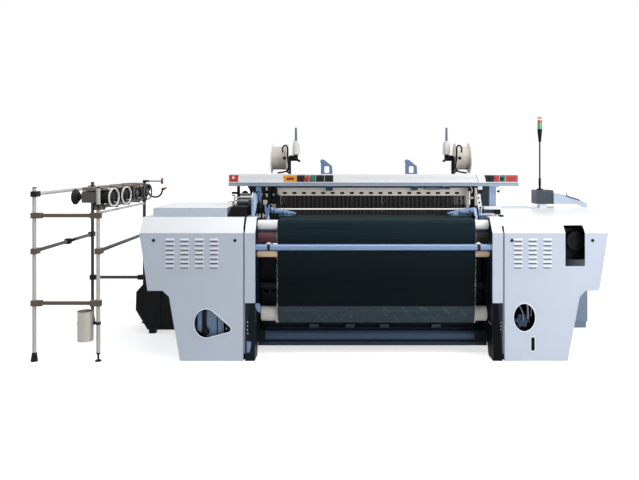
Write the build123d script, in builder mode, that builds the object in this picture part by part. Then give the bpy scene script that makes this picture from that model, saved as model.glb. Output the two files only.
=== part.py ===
from build123d import *
from math import acos, atan2, cos, hypot, radians, sin
import os

os.makedirs("parts", exist_ok=True)

# Power loom with rapiers, in millimetres. X runs to the weaver's right, Y away from the weaver, Z up.
# The origin is on the floor, midway between the side frames, in line with the fronts of the covers.

# Side frames
frame_inner_x = 1084
frame_wall = 88
frame_top_z = 1262
frame_front_y = 2
frame_depth = 1598
leg_depth = 178
arch_height = 140
slope_run = 120
slope_foot_z = 1165
anchor_flange = 24
anchor_reach = 70
anchor_length = 130
anchor_hole_r = 11
frame_corner_r = 30
frame_outer_x = frame_inner_x + frame_wall
frame_rear_y = frame_front_y + frame_depth

# Sheet covers
cover_sheet = 2
cover_inner_x = 1190
deck_z = 1300
deck_depth = frame_rear_y
cover_step_z = 640
cover_waist_z = 585
left_cover_top_x = 2136
left_cover_step_x = 2061
left_cover_waist_x = 1925
left_cover_hip_x = 1865
left_cover_floor_x = 1765
left_cover_depth = 880
right_cover_depth = 1140
right_deck_rear_x = 2400
right_deck_flare = 21
right_deck_flare_y = right_cover_depth + right_deck_flare
deck_skirt = 60
joggle_y = 30
rim_width = 13
rim_height = 3

# Louvres
louvre_width = 80
louvre_pitch_x = 133.7
louvre_pitch_z = 40.5
louvre_rows = 7
louvre_height = 19
louvre_reach = 9
louvre_slot = 12
louvre_sheet = 1.6
left_louvre_x = -1655
left_louvre_columns = 4
right_louvre_x = 1447
right_louvre_columns = 3
louvre_z = 984

# Openings in the covers
teardrop_x = -1528
teardrop_z = 343
teardrop_rx = 108
teardrop_rz = 129
teardrop_tail_x = -1333
teardrop_tail_z = 291
teardrop_tail_r = 30
oval_x = 1370
oval_z = 397
oval_rx = 97.5
oval_rz = 126
slot_x = 1447
slot_z = 156
slot_width = 34
slot_height = 129
window_x = 1832
window_width = 178
window_low_z = 864
window_high_z = 1231
lock_z = 1098
lock_xs = [-2006, -1264, 1255, 1990]
lock_head_r = 14
lock_head = 6
lock_pin_r = 7
lock_pin = 88

# Narrow covers over the side frames
strip_outer_x = 1175
strip_inner_x = 1081
strip_low_z = 528
strip_depth = 260
strip_flange = 14

# Rollers and shafts between the side frames: centre height, centre depth and radius
journal_r = 20
journal_seat = 30
journal_play = 0.05
roller_end_play = 8
breast_y = 175
breast_z = 1225
breast_r = 45
takeup_y = 184.5
takeup_z = 1107
takeup_r = 58.5
guide_y = 158
guide_z = 952
guide_r = 28
roll_y = 250
roll_z = 376
roll_r = 84
core_r = 68
core_left_x = -1051
core_right_x = 1075
rest_y = frame_rear_y - 100
beam_y = rest_y - 260
beam_z = 520
beam_barrel_r = 90
beam_yarn_r = 300
beam_flange_r = 380
beam_flange_x = 985
beam_flange_wall = 14
rest_z = 1216
rest_r = 65

# Cloth and warp
cloth_left_x = -890
cloth_right_x = 951
cloth_wall = 1.6
fell_y = 434
fell_z = 1280
soft_gap = 0.3
warp_half_x = 930
warp_wall = 1.5
warp_end_y = 690

# Front tubes and beams
guard_y = 45
guard_z = 1030
guard_r = 28.5
guard_clip_x = 961
lower_y = 300
lower_z = 153
lower_r = 50
lower_left_x = -1019
lower_right_x = 965
breast_beam_y = 292
breast_beam_depth = 80
breast_beam_z = 1120
breast_beam_height = 110

# Sley: swings about the rocking shaft and stands upright when it beats up
rock_y = 439
rock_z = 600
swing_deg = 6.3
shaft_r = 35
sword_x = 900
race_low = 600
race_high = 668
race_half_x = 1000
reed_half_x = 960
reed_wall = 6
reed_low = 668
reed_high = 756
dent_count = 100

# Heald frames
heald_count = 4
heald_y = 605
heald_pitch = 14
heald_wall = 10
heald_half_x = 990
heald_top_z = 1561
top_stave = 88
bottom_stave = 60
heald_bottom_z = 1000
side_stay = 30
wire_count = 44
wire_width = 3
guide_lug_z = 1120
guide_lug_height = 110
guide_play = 0.4
guide_lug_margin = 60

# Rapiers
tape_y = 470
tape_z = 1284
tape_width = 20
tape_wall = 2
wheel_x = 1876
wheel_r = 200
wheel_wall = 30
hub_r = 90
hub_front_y = 96
hub_wall = 30
wheel_shaft_r = 25
head_tip_x = 1030
head_length = 150
head_width = 28
head_height = 24
guide_box_x = 1094
guide_box_length = 168

# Gearboxes and motor
gearbox_y = 160
gearbox_depth = 250
gearbox_low_z = 900
gearbox_high_z = 1190
gearbox_outer_x = 2030
motor_x = -1520
motor_z = 400
motor_r = 130
motor_y = 140
motor_length = 280

# Handwheel behind the oval hole
hand_x = 1370
hand_z = 352
hand_r = 66
hand_front_y = 60
hand_wall = 26
hand_shaft_r = 10
hand_shaft_depth = 40

# Gantry and sign beam
column_x = 1095
column_width = 74
column_front_y = 522
column_depth = 70
rear_column_y = 860
sign_left_x = -1405
sign_right_x = 1452
sign_y = 470
sign_depth = 90
sign_low_z = 1573
sign_high_z = 1691
gantry_top_z = 1670

# Feeder stand
post_r = 17.5
stand_left_x = -3090
stand_right_x = -2508
stand_rear_y = 1380
post_top_z = 1575
rail_high_z = 1325
rail_low_z = 528
tie_z = 514
mid_rail_z = 1000
feeder_rail_z = 1400
feeder_ys = [100, 450, 800, 1150]
feeder_turn = -12

# Dobby housing
dobby_gap = 31
dobby_y = left_cover_depth + dobby_gap
dobby_depth = 520
dobby_left_x = -2376


def facing(y):
    # The plane that faces the weaver at depth y; extrude with a negative amount to go away from the weaver
    return Plane.XZ.offset(-y)


def across(x):
    # The plane across the machine at x, with Y and Z as its own axes
    return Plane.YZ.offset(x)


def save(part, label):
    part.label = label
    export_step(part, "parts/" + label + ".step")


def mirrored(part):
    return mirror(part, about=Plane.YZ)


# Side frames: cast plates with legs, windows, journal bores, heald guides and anchor flanges
window_front_y = 540
window_rear_y = beam_y - 260
window_mid_y = (window_front_y + window_rear_y) / 2
window_depth = window_rear_y - window_front_y
frame_windows = [
    (window_mid_y, 400, window_depth, 320),
    (window_mid_y, 870, window_depth, 420),
    (beam_y - 10, 1010, 340, 240),
]
journals = [
    (breast_y, breast_z),
    (takeup_y, takeup_z),
    (guide_y, guide_z),
    (roll_y, roll_z),
    (beam_y, beam_z),
    (rest_y, rest_z),
]
frame_slope_y = frame_front_y + slope_run
anchor_inset = anchor_length / 2
anchor_front_y = frame_front_y + leg_depth - anchor_inset
anchor_rear_y = frame_rear_y - leg_depth + anchor_inset
anchor_x = frame_outer_x + anchor_reach * 0.6
heald_rear_y = heald_y + (heald_count - 1) * heald_pitch + heald_wall

with BuildPart() as right_side_frame:
    with BuildSketch(across(frame_inner_x)):
        with BuildLine():
            Polyline(
                (frame_front_y, 0),
                (frame_front_y, slope_foot_z - cover_sheet),
                (frame_slope_y, frame_top_z),
                (frame_rear_y, frame_top_z),
                (frame_rear_y, 0),
                (frame_rear_y - leg_depth, 0),
                (frame_rear_y - leg_depth - arch_height, arch_height),
                (frame_front_y + leg_depth + arch_height / 2, arch_height),
                (frame_front_y + leg_depth, 0),
                close=True,
            )
        make_face()
        for window_y, window_z, width, height in frame_windows:
            with Locations((window_y, window_z)):
                RectangleRounded(width, height, frame_corner_r, mode=Mode.SUBTRACT)
    extrude(amount=frame_wall)
    for flange_y in (anchor_front_y, anchor_rear_y):
        with BuildSketch(Plane.XY):
            with Locations((frame_outer_x + anchor_reach / 2, flange_y)):
                Rectangle(anchor_reach, anchor_length)
            with Locations((anchor_x, flange_y)):
                Circle(anchor_hole_r, mode=Mode.SUBTRACT)
        extrude(amount=anchor_flange)
    with BuildSketch(across(frame_inner_x)):
        with Locations(*journals):
            Circle(journal_r + journal_play)
    extrude(amount=journal_seat, mode=Mode.SUBTRACT)
    with BuildSketch(across(frame_inner_x)):
        with Locations((rock_y, rock_z)):
            Circle(shaft_r + journal_play)
    extrude(amount=journal_seat, mode=Mode.SUBTRACT)
    with BuildSketch(across(heald_half_x + guide_play)):
        with Locations(((heald_y + heald_rear_y) / 2, guide_lug_z + guide_lug_height / 2)):
            RectangleRounded(heald_rear_y - heald_y + guide_lug_margin, guide_lug_height, 10)
    extrude(amount=frame_inner_x - heald_half_x - guide_play)
save(mirrored(right_side_frame.part), "left_side_frame")

# The right frame also carries the handwheel: a cast arm with a bearing, and two stems that stand on it
wheel_arm_y = 150
wheel_arm_depth = 60
wheel_arm_low_z = 300
stem_r = 9
stem_length = 190
with BuildPart() as right_frame_with_arm:
    add(right_side_frame.part)
    with BuildSketch(facing(wheel_arm_y)):
        with BuildLine():
            Polyline(
                (frame_outer_x, wheel_arm_low_z - 40),
                (frame_outer_x, hand_z + 110),
                (hand_x + 30, hand_z + 48),
                (hand_x + 60, hand_z),
                (hand_x + 30, hand_z - 48),
                close=True,
            )
        make_face()
    extrude(amount=-wheel_arm_depth)
    with BuildSketch(Plane.XY.offset(hand_z + 20)):
        with Locations((hand_x - 24, wheel_arm_y + 20), (hand_x + 22, wheel_arm_y + 20)):
            Circle(stem_r)
    extrude(amount=stem_length)
    with BuildSketch(facing(wheel_arm_y)):
        with Locations((hand_x, hand_z)):
            Circle(hand_shaft_r + journal_play)
    extrude(amount=-hand_shaft_depth - 2, mode=Mode.SUBTRACT)
save(right_frame_with_arm.part, "right_side_frame")

# Handwheel: a star grip with a bright boss, on its shaft
with BuildPart() as handwheel:
    with BuildSketch(facing(hand_front_y)):
        with Locations((hand_x, hand_z)):
            Circle(hand_r * 0.72)
            with PolarLocations(hand_r * 0.72, 6):
                Circle(hand_r * 0.28)
    extrude(amount=-hand_wall)
    fillet(handwheel.faces().sort_by(Axis.Y)[0].edges(), 3)
    with BuildSketch(facing(hand_front_y - 10)):
        with Locations((hand_x, hand_z)):
            Circle(hand_r * 0.34)
    extrude(amount=-hand_wall)
    with BuildSketch(facing(hand_front_y + hand_wall)):
        with Locations((hand_x, hand_z)):
            Circle(hand_shaft_r)
    extrude(amount=hand_front_y + hand_wall - wheel_arm_y - hand_shaft_depth)
save(handwheel.part, "handwheel")

# Lower crossbeam: a tube between end blocks, a flat rail below it and an angle rail with tabs behind it
lower_block = 2.4 * lower_r
lower_rail_z = 74
lower_rail_wall = 28
back_rail_y = lower_y + lower_r + 8
tab_xs = [-560, -210, 120, 620]
with BuildPart() as lower_crossbeam:
    with BuildSketch(across(lower_left_x)):
        with Locations((lower_y, lower_z)):
            Circle(lower_r)
            Circle(lower_r - 5, mode=Mode.SUBTRACT)
    extrude(amount=lower_right_x - lower_left_x)
    for block_x, block_width in (
        (-frame_inner_x, lower_left_x + frame_inner_x),
        (lower_right_x, frame_inner_x - lower_right_x),
    ):
        with BuildSketch(across(block_x)):
            with Locations((lower_y, lower_z)):
                RectangleRounded(lower_block, lower_block, 12)
        extrude(amount=block_width)
    with BuildSketch(across(-frame_inner_x)):
        with Locations((lower_y, lower_rail_z + lower_rail_wall / 2)):
            Rectangle(lower_block, lower_rail_wall)
        with Locations((back_rail_y + 20, lower_z + lower_block / 2 - 3)):
            Rectangle(60, 6)
        with Locations((back_rail_y + 47, lower_z + lower_block / 2 - 30)):
            Rectangle(6, 60)
    extrude(amount=2 * frame_inner_x)
    with BuildSketch(facing(back_rail_y)):
        for tab_x in tab_xs:
            with Locations((tab_x, lower_z + lower_block / 2 + 15)):
                Rectangle(90, 34)
    extrude(amount=-6)
save(lower_crossbeam.part, "lower_crossbeam")

# Rear crossbeam: a box section low behind the warp beam
rear_beam_y = frame_rear_y - 55
rear_beam_z = 180
with BuildPart() as rear_crossbeam:
    with BuildSketch(across(-frame_inner_x)):
        with Locations((rear_beam_y, rear_beam_z)):
            RectangleRounded(90, 120, 10)
            RectangleRounded(80, 110, 6, mode=Mode.SUBTRACT)
    extrude(amount=2 * frame_inner_x)
save(rear_crossbeam.part, "rear_crossbeam")

# Breast beam: a ribbed section behind the cloth rollers
with BuildPart() as breast_beam:
    with BuildSketch(across(-frame_inner_x)):
        with Locations((breast_beam_y + breast_beam_depth / 2, breast_beam_z + breast_beam_height / 2)):
            RectangleRounded(breast_beam_depth, breast_beam_height, 12)
            with Locations((0, 24), (0, -24)):
                RectangleRounded(breast_beam_depth - 16, 40, 6, mode=Mode.SUBTRACT)
    extrude(amount=2 * frame_inner_x)
save(breast_beam.part, "breast_beam")

# Gantry: columns on the side frames, side members and a top crossbeam, welded, with a ribbed bracket on the right
side_member_z = 1480
top_member = 100
bracket_width = 72
bracket_low_z = 1374
bracket_rib = 8
bracket_flange = 12
with BuildPart() as top_gantry:
    for side in (-1, 1):
        centre_x = side * (column_x + column_width / 2)
        with BuildSketch(Plane.XY.offset(frame_top_z)):
            with Locations((centre_x, column_front_y + column_depth / 2)):
                RectangleRounded(column_width, column_depth, 8)
        extrude(amount=sign_low_z - frame_top_z)
        with BuildSketch(Plane.XY.offset(frame_top_z)):
            with Locations((centre_x, rear_column_y + column_depth / 2)):
                RectangleRounded(column_width, column_depth, 8)
        extrude(amount=gantry_top_z - frame_top_z)
        with BuildSketch(facing(column_front_y + column_depth - 10)):
            with Locations((centre_x, side_member_z)):
                Rectangle(column_width - 20, 60)
        extrude(amount=column_front_y + column_depth - 20 - rear_column_y)
    with BuildSketch(across(-column_x)):
        with Locations((rear_column_y + column_depth / 2, gantry_top_z - top_member / 2)):
            RectangleRounded(column_depth, top_member, 8)
    extrude(amount=2 * column_x)
    with BuildSketch(Plane.XY.offset(bracket_low_z)):
        with Locations((column_x + column_width + bracket_width / 2, column_front_y + column_depth / 2)):
            Rectangle(bracket_width, column_depth)
            for rib in (-1, 0, 1):
                with Locations((rib * bracket_width / 3, -column_depth / 2)):
                    Rectangle(bracket_rib, 2 * bracket_rib)
    extrude(amount=sign_low_z - bracket_flange - bracket_low_z)
    with BuildSketch(Plane.XY.offset(sign_low_z - bracket_flange)):
        with Locations((column_x + column_width + bracket_width / 2 + bracket_flange, column_front_y + column_depth / 2)):
            Rectangle(bracket_width + 2 * bracket_flange, column_depth + 2 * bracket_flange)
    extrude(amount=bracket_flange)
save(top_gantry.part, "top_gantry")

# Gearboxes for the rapier wheels, bolted outside the frames, with posts for the cover locks
lock_post_r = 20
wheel_z = tape_z - tape_wall / 2 - wheel_r
with BuildPart() as gearboxes:
    for side in (-1, 1):
        box_mid_x = side * (frame_outer_x + gearbox_outer_x) / 2
        with BuildSketch(facing(gearbox_y)):
            with Locations((box_mid_x, (gearbox_low_z + gearbox_high_z) / 2)):
                RectangleRounded(gearbox_outer_x - frame_outer_x, gearbox_high_z - gearbox_low_z, 25)
        extrude(amount=-gearbox_depth)
        with BuildSketch(facing(gearbox_y)):
            with Locations((side * wheel_x, wheel_z)):
                Circle(wheel_shaft_r + 30)
        extrude(amount=gearbox_y - hub_front_y - hub_wall - 4)
    with BuildSketch(facing(gearbox_y)):
        for lock_x in lock_xs:
            with Locations((lock_x, lock_z)):
                Circle(lock_post_r)
    extrude(amount=gearbox_y - lock_pin + 26)
    with BuildSketch(facing(0)):
        for lock_x in lock_xs:
            with Locations((lock_x, lock_z)):
                Circle(lock_pin_r + journal_play)
    extrude(amount=-lock_pin - 1, mode=Mode.SUBTRACT)
    with BuildSketch(facing(0)):
        for side in (-1, 1):
            with Locations((side * wheel_x, wheel_z)):
                Circle(wheel_shaft_r + journal_play)
    extrude(amount=-gearbox_y - gearbox_depth - 1, mode=Mode.SUBTRACT)
save(gearboxes.part, "gearboxes")

# Louvre: a pressed hood, closed at its sides and open below
with BuildPart() as louvre:
    with BuildSketch(across(-louvre_width / 2)):
        with BuildLine():
            Polyline(
                (0, louvre_height / 2),
                (-louvre_reach, -louvre_height / 2 + louvre_reach / 2),
                (-louvre_reach, -louvre_height / 2),
                (0, -louvre_height / 2),
                close=True,
            )
        make_face()
    extrude(amount=louvre_width)
    with BuildSketch(across(-louvre_width / 2 + louvre_sheet)):
        with BuildLine():
            Polyline(
                (0, louvre_height / 2 - 2 * louvre_sheet),
                (-louvre_reach + louvre_sheet, -louvre_height / 2 + louvre_reach / 2 - louvre_sheet / 2),
                (-louvre_reach + louvre_sheet, -louvre_height / 2),
                (0, -louvre_height / 2),
                close=True,
            )
        make_face()
    extrude(amount=louvre_width - 2 * louvre_sheet, mode=Mode.SUBTRACT)


def louvre_places(centre_x, columns):
    places = []
    for column in range(columns):
        for row in range(louvre_rows):
            across_x = centre_x + (column - (columns - 1) / 2) * louvre_pitch_x
            up_z = louvre_z + ((louvre_rows - 1) / 2 - row) * louvre_pitch_z
            places.append((across_x, up_z))
    return places


def cover_outline(side, outline, inset, drop):
    # Front outline of a cover, in from its true edge by inset, its foot lengthened by drop
    top_x, step_x, waist_x, hip_x, floor_x = outline
    with BuildSketch(Plane.XY) as drawn:
        with BuildLine():
            Polyline(
                (side * cover_inner_x, 0),
                (side * cover_inner_x, deck_z),
                (side * top_x, deck_z),
                (side * top_x, slope_foot_z),
                (side * step_x, cover_step_z),
                (side * waist_x, cover_step_z),
                (side * hip_x, cover_waist_z),
                (side * floor_x, 0),
                close=True,
            )
        make_face()
        if inset:
            offset(amount=-inset, kind=Kind.INTERSECTION)
            with Locations((side * (cover_inner_x + floor_x) / 2, 0)):
                Rectangle(floor_x - cover_inner_x - 2 * inset, 2 * drop)
    return drawn.sketch


def slope_wedge(side, top_x, inset):
    # The wedge cut away above the front slope; inset moves it down into the sheet
    rise = deck_z - slope_foot_z
    along = hypot(slope_run, rise)
    start_y = inset * rise / along
    start_z = slope_foot_z - inset * slope_run / along
    with BuildPart() as wedge:
        with BuildSketch(across(min(side * (cover_inner_x - 5), side * (top_x + 5)))):
            with BuildLine():
                Polyline(
                    (start_y - slope_run, start_z - rise),
                    (start_y - slope_run, start_z + 2 * rise),
                    (start_y + 2 * slope_run, start_z + 2 * rise),
                    close=True,
                )
            make_face()
        extrude(amount=top_x - cover_inner_x + 10)
    return wedge.part


def cover_shell(side, outline, depth, deck_points, skirt_points, skirt_low_z):
    # A folded sheet shell, open behind and below, with a deck and a skirt that run on to the rear
    top_x = outline[0]
    with BuildPart() as hollow:
        with BuildSketch(facing(cover_sheet)):
            add(cover_outline(side, outline, cover_sheet, 10))
        extrude(amount=-depth)
        add(slope_wedge(side, top_x, cover_sheet), mode=Mode.SUBTRACT)
    with BuildPart() as shell:
        with BuildSketch(facing(0)):
            add(cover_outline(side, outline, 0, 0))
        extrude(amount=-depth)
        add(slope_wedge(side, top_x, 0), mode=Mode.SUBTRACT)
        add(hollow.part, mode=Mode.SUBTRACT)
        side_x = side * cover_inner_x
        with BuildSketch(Plane.XY.offset(-5)):
            with Locations((side_x, (joggle_y + depth) / 2 + 5)):
                Rectangle(4 * cover_sheet, depth + 10 - joggle_y)
        extrude(amount=deck_z - cover_sheet + 5, mode=Mode.SUBTRACT)
        with BuildSketch(Plane.XY.offset(joggle_low_z)):
            with Locations(((side_x + side * frame_outer_x) / 2 + side, joggle_y - cover_sheet / 2)):
                Rectangle(cover_inner_x - frame_outer_x + cover_sheet, cover_sheet)
        extrude(amount=slope_foot_z - joggle_low_z)
        with BuildSketch(Plane.XY.offset(deck_z - cover_sheet)):
            with BuildLine():
                Polyline(*[(side * x, y) for x, y in deck_points], close=True)
            make_face()
        extrude(amount=cover_sheet)
        with BuildSketch(Plane.XY.offset(skirt_low_z)):
            with BuildLine():
                Polyline(*[(side * x, y) for x, y in skirt_points])
            trace(line_width=cover_sheet)
        extrude(amount=deck_z - skirt_low_z)
    return shell.part


def louvred(shell, centre_x, columns):
    # The shell with its hoods and the slots under them
    places = louvre_places(centre_x, columns)
    with BuildPart() as pressed:
        add(shell)
        with Locations(*[(x, 0, z) for x, z in places]):
            add(louvre.part)
        with BuildSketch(facing(0)):
            with Locations(*places):
                Rectangle(louvre_width - 2 * louvre_sheet, louvre_slot)
        extrude(amount=-cover_sheet, mode=Mode.SUBTRACT)
    return pressed.part


def rimmed(shell, hole, rim, lock_side):
    # The shell with a raised rim round a hole, the hole itself and the bores of its two locks
    with BuildPart() as cut:
        add(shell)
        with BuildSketch(facing(0)):
            add(rim)
        extrude(amount=rim_height)
        with BuildSketch(facing(-rim_height)):
            add(hole)
        extrude(amount=-rim_height - cover_sheet - 1, mode=Mode.SUBTRACT)
        with BuildSketch(facing(0)):
            with Locations(*[(x, lock_z) for x in lock_xs if x * lock_side > 0]):
                Circle(lock_pin_r + journal_play)
        extrude(amount=-cover_sheet, mode=Mode.SUBTRACT)
    return cut.part


# Left cover: a stepped side, four louvre columns and the teardrop hole
joggle_low_z = 60
skirt_mid = cover_sheet / 2
left_outline = (left_cover_top_x, left_cover_step_x, left_cover_waist_x, left_cover_hip_x, left_cover_floor_x)
left_deck = [
    (cover_inner_x, left_cover_depth - cover_sheet),
    (left_cover_top_x, left_cover_depth - cover_sheet),
    (left_cover_top_x, deck_depth),
    (cover_inner_x, deck_depth),
]
left_skirt = [
    (left_cover_top_x - skirt_mid, left_cover_depth - cover_sheet),
    (left_cover_top_x - skirt_mid, deck_depth - skirt_mid),
    (cover_inner_x, deck_depth - skirt_mid),
]
left_skirt_low_z = 720


def teardrop(grow):
    with BuildSketch(Plane.XY) as hull:
        with Locations((teardrop_x, teardrop_z)):
            Ellipse(teardrop_rx + grow, teardrop_rz + grow)
        with Locations((teardrop_tail_x, teardrop_tail_z)):
            Circle(teardrop_tail_r + grow)
        make_hull()
    return hull.sketch


def oval(grow):
    with BuildSketch(Plane.XY) as drawn:
        with Locations((oval_x, oval_z)):
            Ellipse(oval_rx + grow, oval_rz + grow)
    return drawn.sketch


left_shell = cover_shell(-1, left_outline, left_cover_depth, left_deck, left_skirt, left_skirt_low_z)
left_pressed = louvred(left_shell, left_louvre_x, left_louvre_columns)
left_front_cover = rimmed(left_pressed, teardrop(0), teardrop(rim_width), -1)
save(left_front_cover, "left_front_cover")

# Right cover: a deck that widens to the rear, three louvre columns, the window, the oval hole and a slot
right_cover_top_x = 2134
right_cover_step_x = 2053
right_cover_waist_x = 1926
right_cover_hip_x = 1874
right_cover_floor_x = 1764
right_outline = (
    right_cover_top_x,
    right_cover_step_x,
    right_cover_waist_x,
    right_cover_hip_x,
    right_cover_floor_x,
)
right_skirt = [
    (right_cover_top_x - skirt_mid, slope_run),
    (right_deck_rear_x - skirt_mid, right_deck_flare_y),
    (right_deck_rear_x - skirt_mid, deck_depth - skirt_mid),
    (cover_inner_x, deck_depth - skirt_mid),
]
right_deck = [
    (right_cover_top_x - cover_sheet, slope_run),
    (right_cover_top_x, slope_run),
    (right_deck_rear_x, right_deck_flare_y),
    (right_deck_rear_x, deck_depth),
    (cover_inner_x, deck_depth),
    (cover_inner_x, right_cover_depth - cover_sheet),
    (right_cover_top_x - cover_sheet, right_cover_depth - cover_sheet),
]
right_shell = cover_shell(1, right_outline, right_cover_depth, right_deck, right_skirt, deck_z - deck_skirt)
right_pressed = louvred(right_shell, right_louvre_x, right_louvre_columns)
with BuildPart() as right_front_cover:
    add(rimmed(right_pressed, oval(0), oval(rim_width), 1))
    with BuildSketch(facing(0)):
        with Locations((slot_x, slot_z)):
            SlotOverall(slot_height, slot_width, rotation=90)
    extrude(amount=-cover_sheet, mode=Mode.SUBTRACT)
    with BuildSketch(facing(-1)):
        with Locations((window_x, (window_low_z + window_high_z) / 2)):
            RectangleRounded(window_width, window_high_z - window_low_z, 8)
    extrude(amount=-slope_run, mode=Mode.SUBTRACT)
save(right_front_cover.part, "right_front_cover")

# Cover locks: quarter-turn heads with a screwdriver slot, on pins that enter the lock posts
with BuildPart() as cover_locks:
    with BuildSketch(facing(0)):
        with Locations(*[(x, lock_z) for x in lock_xs]):
            Circle(lock_head_r)
    extrude(amount=lock_head)
    fillet(cover_locks.faces().sort_by(Axis.Y)[:len(lock_xs)].edges(), 2)
    with BuildSketch(facing(0)):
        with Locations(*[(x, lock_z) for x in lock_xs]):
            Circle(lock_pin_r)
    extrude(amount=-lock_pin)
    with BuildSketch(facing(-lock_head)):
        with Locations(*[(x, lock_z) for x in lock_xs]):
            Rectangle(2 * lock_head_r, 3, rotation=35)
    extrude(amount=-2, mode=Mode.SUBTRACT)
save(cover_locks.part, "cover_locks")

# Strip covers: narrow folded channels that wrap the front of each side frame
with BuildPart() as right_strip:
    for wall_x, wall_width, wall_depth in (
        (strip_inner_x, cover_sheet, strip_flange),
        (strip_inner_x, strip_outer_x - strip_inner_x, cover_sheet),
        (strip_outer_x - cover_sheet, cover_sheet, strip_flange),
    ):
        with BuildSketch(across(wall_x)):
            with BuildLine():
                Polyline(
                    (0, strip_low_z),
                    (0, slope_foot_z),
                    (slope_run, deck_z),
                    (strip_depth, deck_z),
                    (strip_depth, deck_z - wall_depth),
                    (slope_run + wall_depth / 2, deck_z - wall_depth),
                    (wall_depth, slope_foot_z - wall_depth / 2),
                    (wall_depth, strip_low_z),
                    close=True,
                )
            make_face()
        extrude(amount=wall_width)
with BuildPart() as strip_covers:
    add(right_strip.part)
    add(mirrored(right_strip.part))
save(strip_covers.part, "strip_covers")

# Raised cover on the left deck: a shallow box, open below, with a lifting recess in its lid edge
top_box_left_x = -2045
top_box_right_x = -1360
top_box_front_y = 130
top_box_depth = 770
top_box_height = 88
with BuildPart() as left_top_box:
    with BuildSketch(Plane.XY.offset(deck_z)):
        with Locations(((top_box_left_x + top_box_right_x) / 2, top_box_front_y + top_box_depth / 2)):
            Rectangle(top_box_right_x - top_box_left_x, top_box_depth)
    extrude(amount=top_box_height)
    fillet(left_top_box.faces().sort_by(Axis.Z)[-1].edges(), 6)
    with BuildSketch(Plane.XY.offset(deck_z)):
        with Locations(((top_box_left_x + top_box_right_x) / 2, top_box_front_y + top_box_depth / 2)):
            Rectangle(top_box_right_x - top_box_left_x - 2 * cover_sheet, top_box_depth - 2 * cover_sheet)
    extrude(amount=top_box_height - 3 * cover_sheet, mode=Mode.SUBTRACT)
save(left_top_box.part, "left_top_box")


# Rollers: turned bodies with journals in the side frames
def roller(y, z, radius, left_x, right_x):
    with BuildPart() as turned:
        with BuildSketch(across(left_x)):
            with Locations((y, z)):
                Circle(radius)
        extrude(amount=right_x - left_x)
        chamfer(turned.edges().filter_by(GeomType.CIRCLE), 2)
        with BuildSketch(across(-journal_end_x)):
            with Locations((y, z)):
                Circle(journal_r)
        extrude(amount=2 * journal_end_x)
    return turned.part


journal_end_x = frame_inner_x + journal_seat - 2
roller_half_x = frame_inner_x - roller_end_play
save(roller(breast_y, breast_z, breast_r, -roller_half_x, roller_half_x), "breast_roller")
save(roller(takeup_y, takeup_z, takeup_r, -roller_half_x, roller_half_x), "takeup_roller")
save(roller(guide_y, guide_z, guide_r, -roller_half_x, roller_half_x), "guide_roller")
save(roller(rest_y, rest_z, rest_r, -roller_half_x, roller_half_x), "back_rest_roller")
save(roller(roll_y, roll_z, core_r, core_left_x, core_right_x), "roll_core")

# Cloth roll: the wound cloth on its core, its edges a little uneven
with BuildPart() as cloth_roll:
    with BuildSketch(across(cloth_left_x)):
        with Locations((roll_y, roll_z)):
            Circle(roll_r)
            Circle(core_r, mode=Mode.SUBTRACT)
    extrude(amount=cloth_right_x - cloth_left_x)
save(cloth_roll.part, "cloth_roll")

# Warp beam: a barrel with two flanges and journals, and the yarn wound on it
with BuildPart() as warp_beam:
    add(roller(beam_y, beam_z, beam_barrel_r, -beam_flange_x, beam_flange_x))
    for flange_x in (-beam_flange_x, beam_flange_x - beam_flange_wall):
        with BuildSketch(across(flange_x)):
            with Locations((beam_y, beam_z)):
                Circle(beam_flange_r)
                with PolarLocations((beam_flange_r + beam_yarn_r) / 2, 8, start_angle=22.5):
                    Circle(14, mode=Mode.SUBTRACT)
        extrude(amount=beam_flange_wall)
save(warp_beam.part, "warp_beam")
with BuildPart() as warp_yarn:
    with BuildSketch(across(-beam_flange_x + beam_flange_wall)):
        with Locations((beam_y, beam_z)):
            Circle(beam_yarn_r)
            Circle(beam_barrel_r, mode=Mode.SUBTRACT)
    extrude(amount=2 * (beam_flange_x - beam_flange_wall))
save(warp_yarn.part, "warp_yarn")


# Cloth and warp: sheets drawn taut over circles, each given as depth, height and radius
def taut_sheet(stops, wall, left_x, right_x):
    def tangent(first, second):
        # Both touch points lie on the same side of the straight run, at the angle whose cosine is
        # the difference of the radii over the distance between the centres
        run_y = second[0] - first[0]
        run_z = second[1] - first[1]
        angle = atan2(run_z, run_y) - acos((first[2] - second[2]) / hypot(run_y, run_z))
        return [(stop[0] + stop[2] * cos(angle), stop[1] + stop[2] * sin(angle)) for stop in (first, second)]

    runs = [tangent(first, second) for first, second in zip(stops, stops[1:])]
    with BuildPart() as drawn:
        with BuildSketch(across(left_x)):
            with BuildLine():
                for number, (leaves, meets) in enumerate(runs):
                    Line(leaves, meets)
                    if number + 1 < len(runs):
                        centre_y, centre_z, radius = stops[number + 1]
                        onward = runs[number + 1][0]
                        mid_y = (meets[0] + onward[0]) / 2 - centre_y
                        mid_z = (meets[1] + onward[1]) / 2 - centre_z
                        reach = radius / hypot(mid_y, mid_z)
                        ThreePointArc(meets, (centre_y + mid_y * reach, centre_z + mid_z * reach), onward)
            trace(line_width=wall)
        extrude(amount=right_x - left_x)
    return drawn.part


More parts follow.
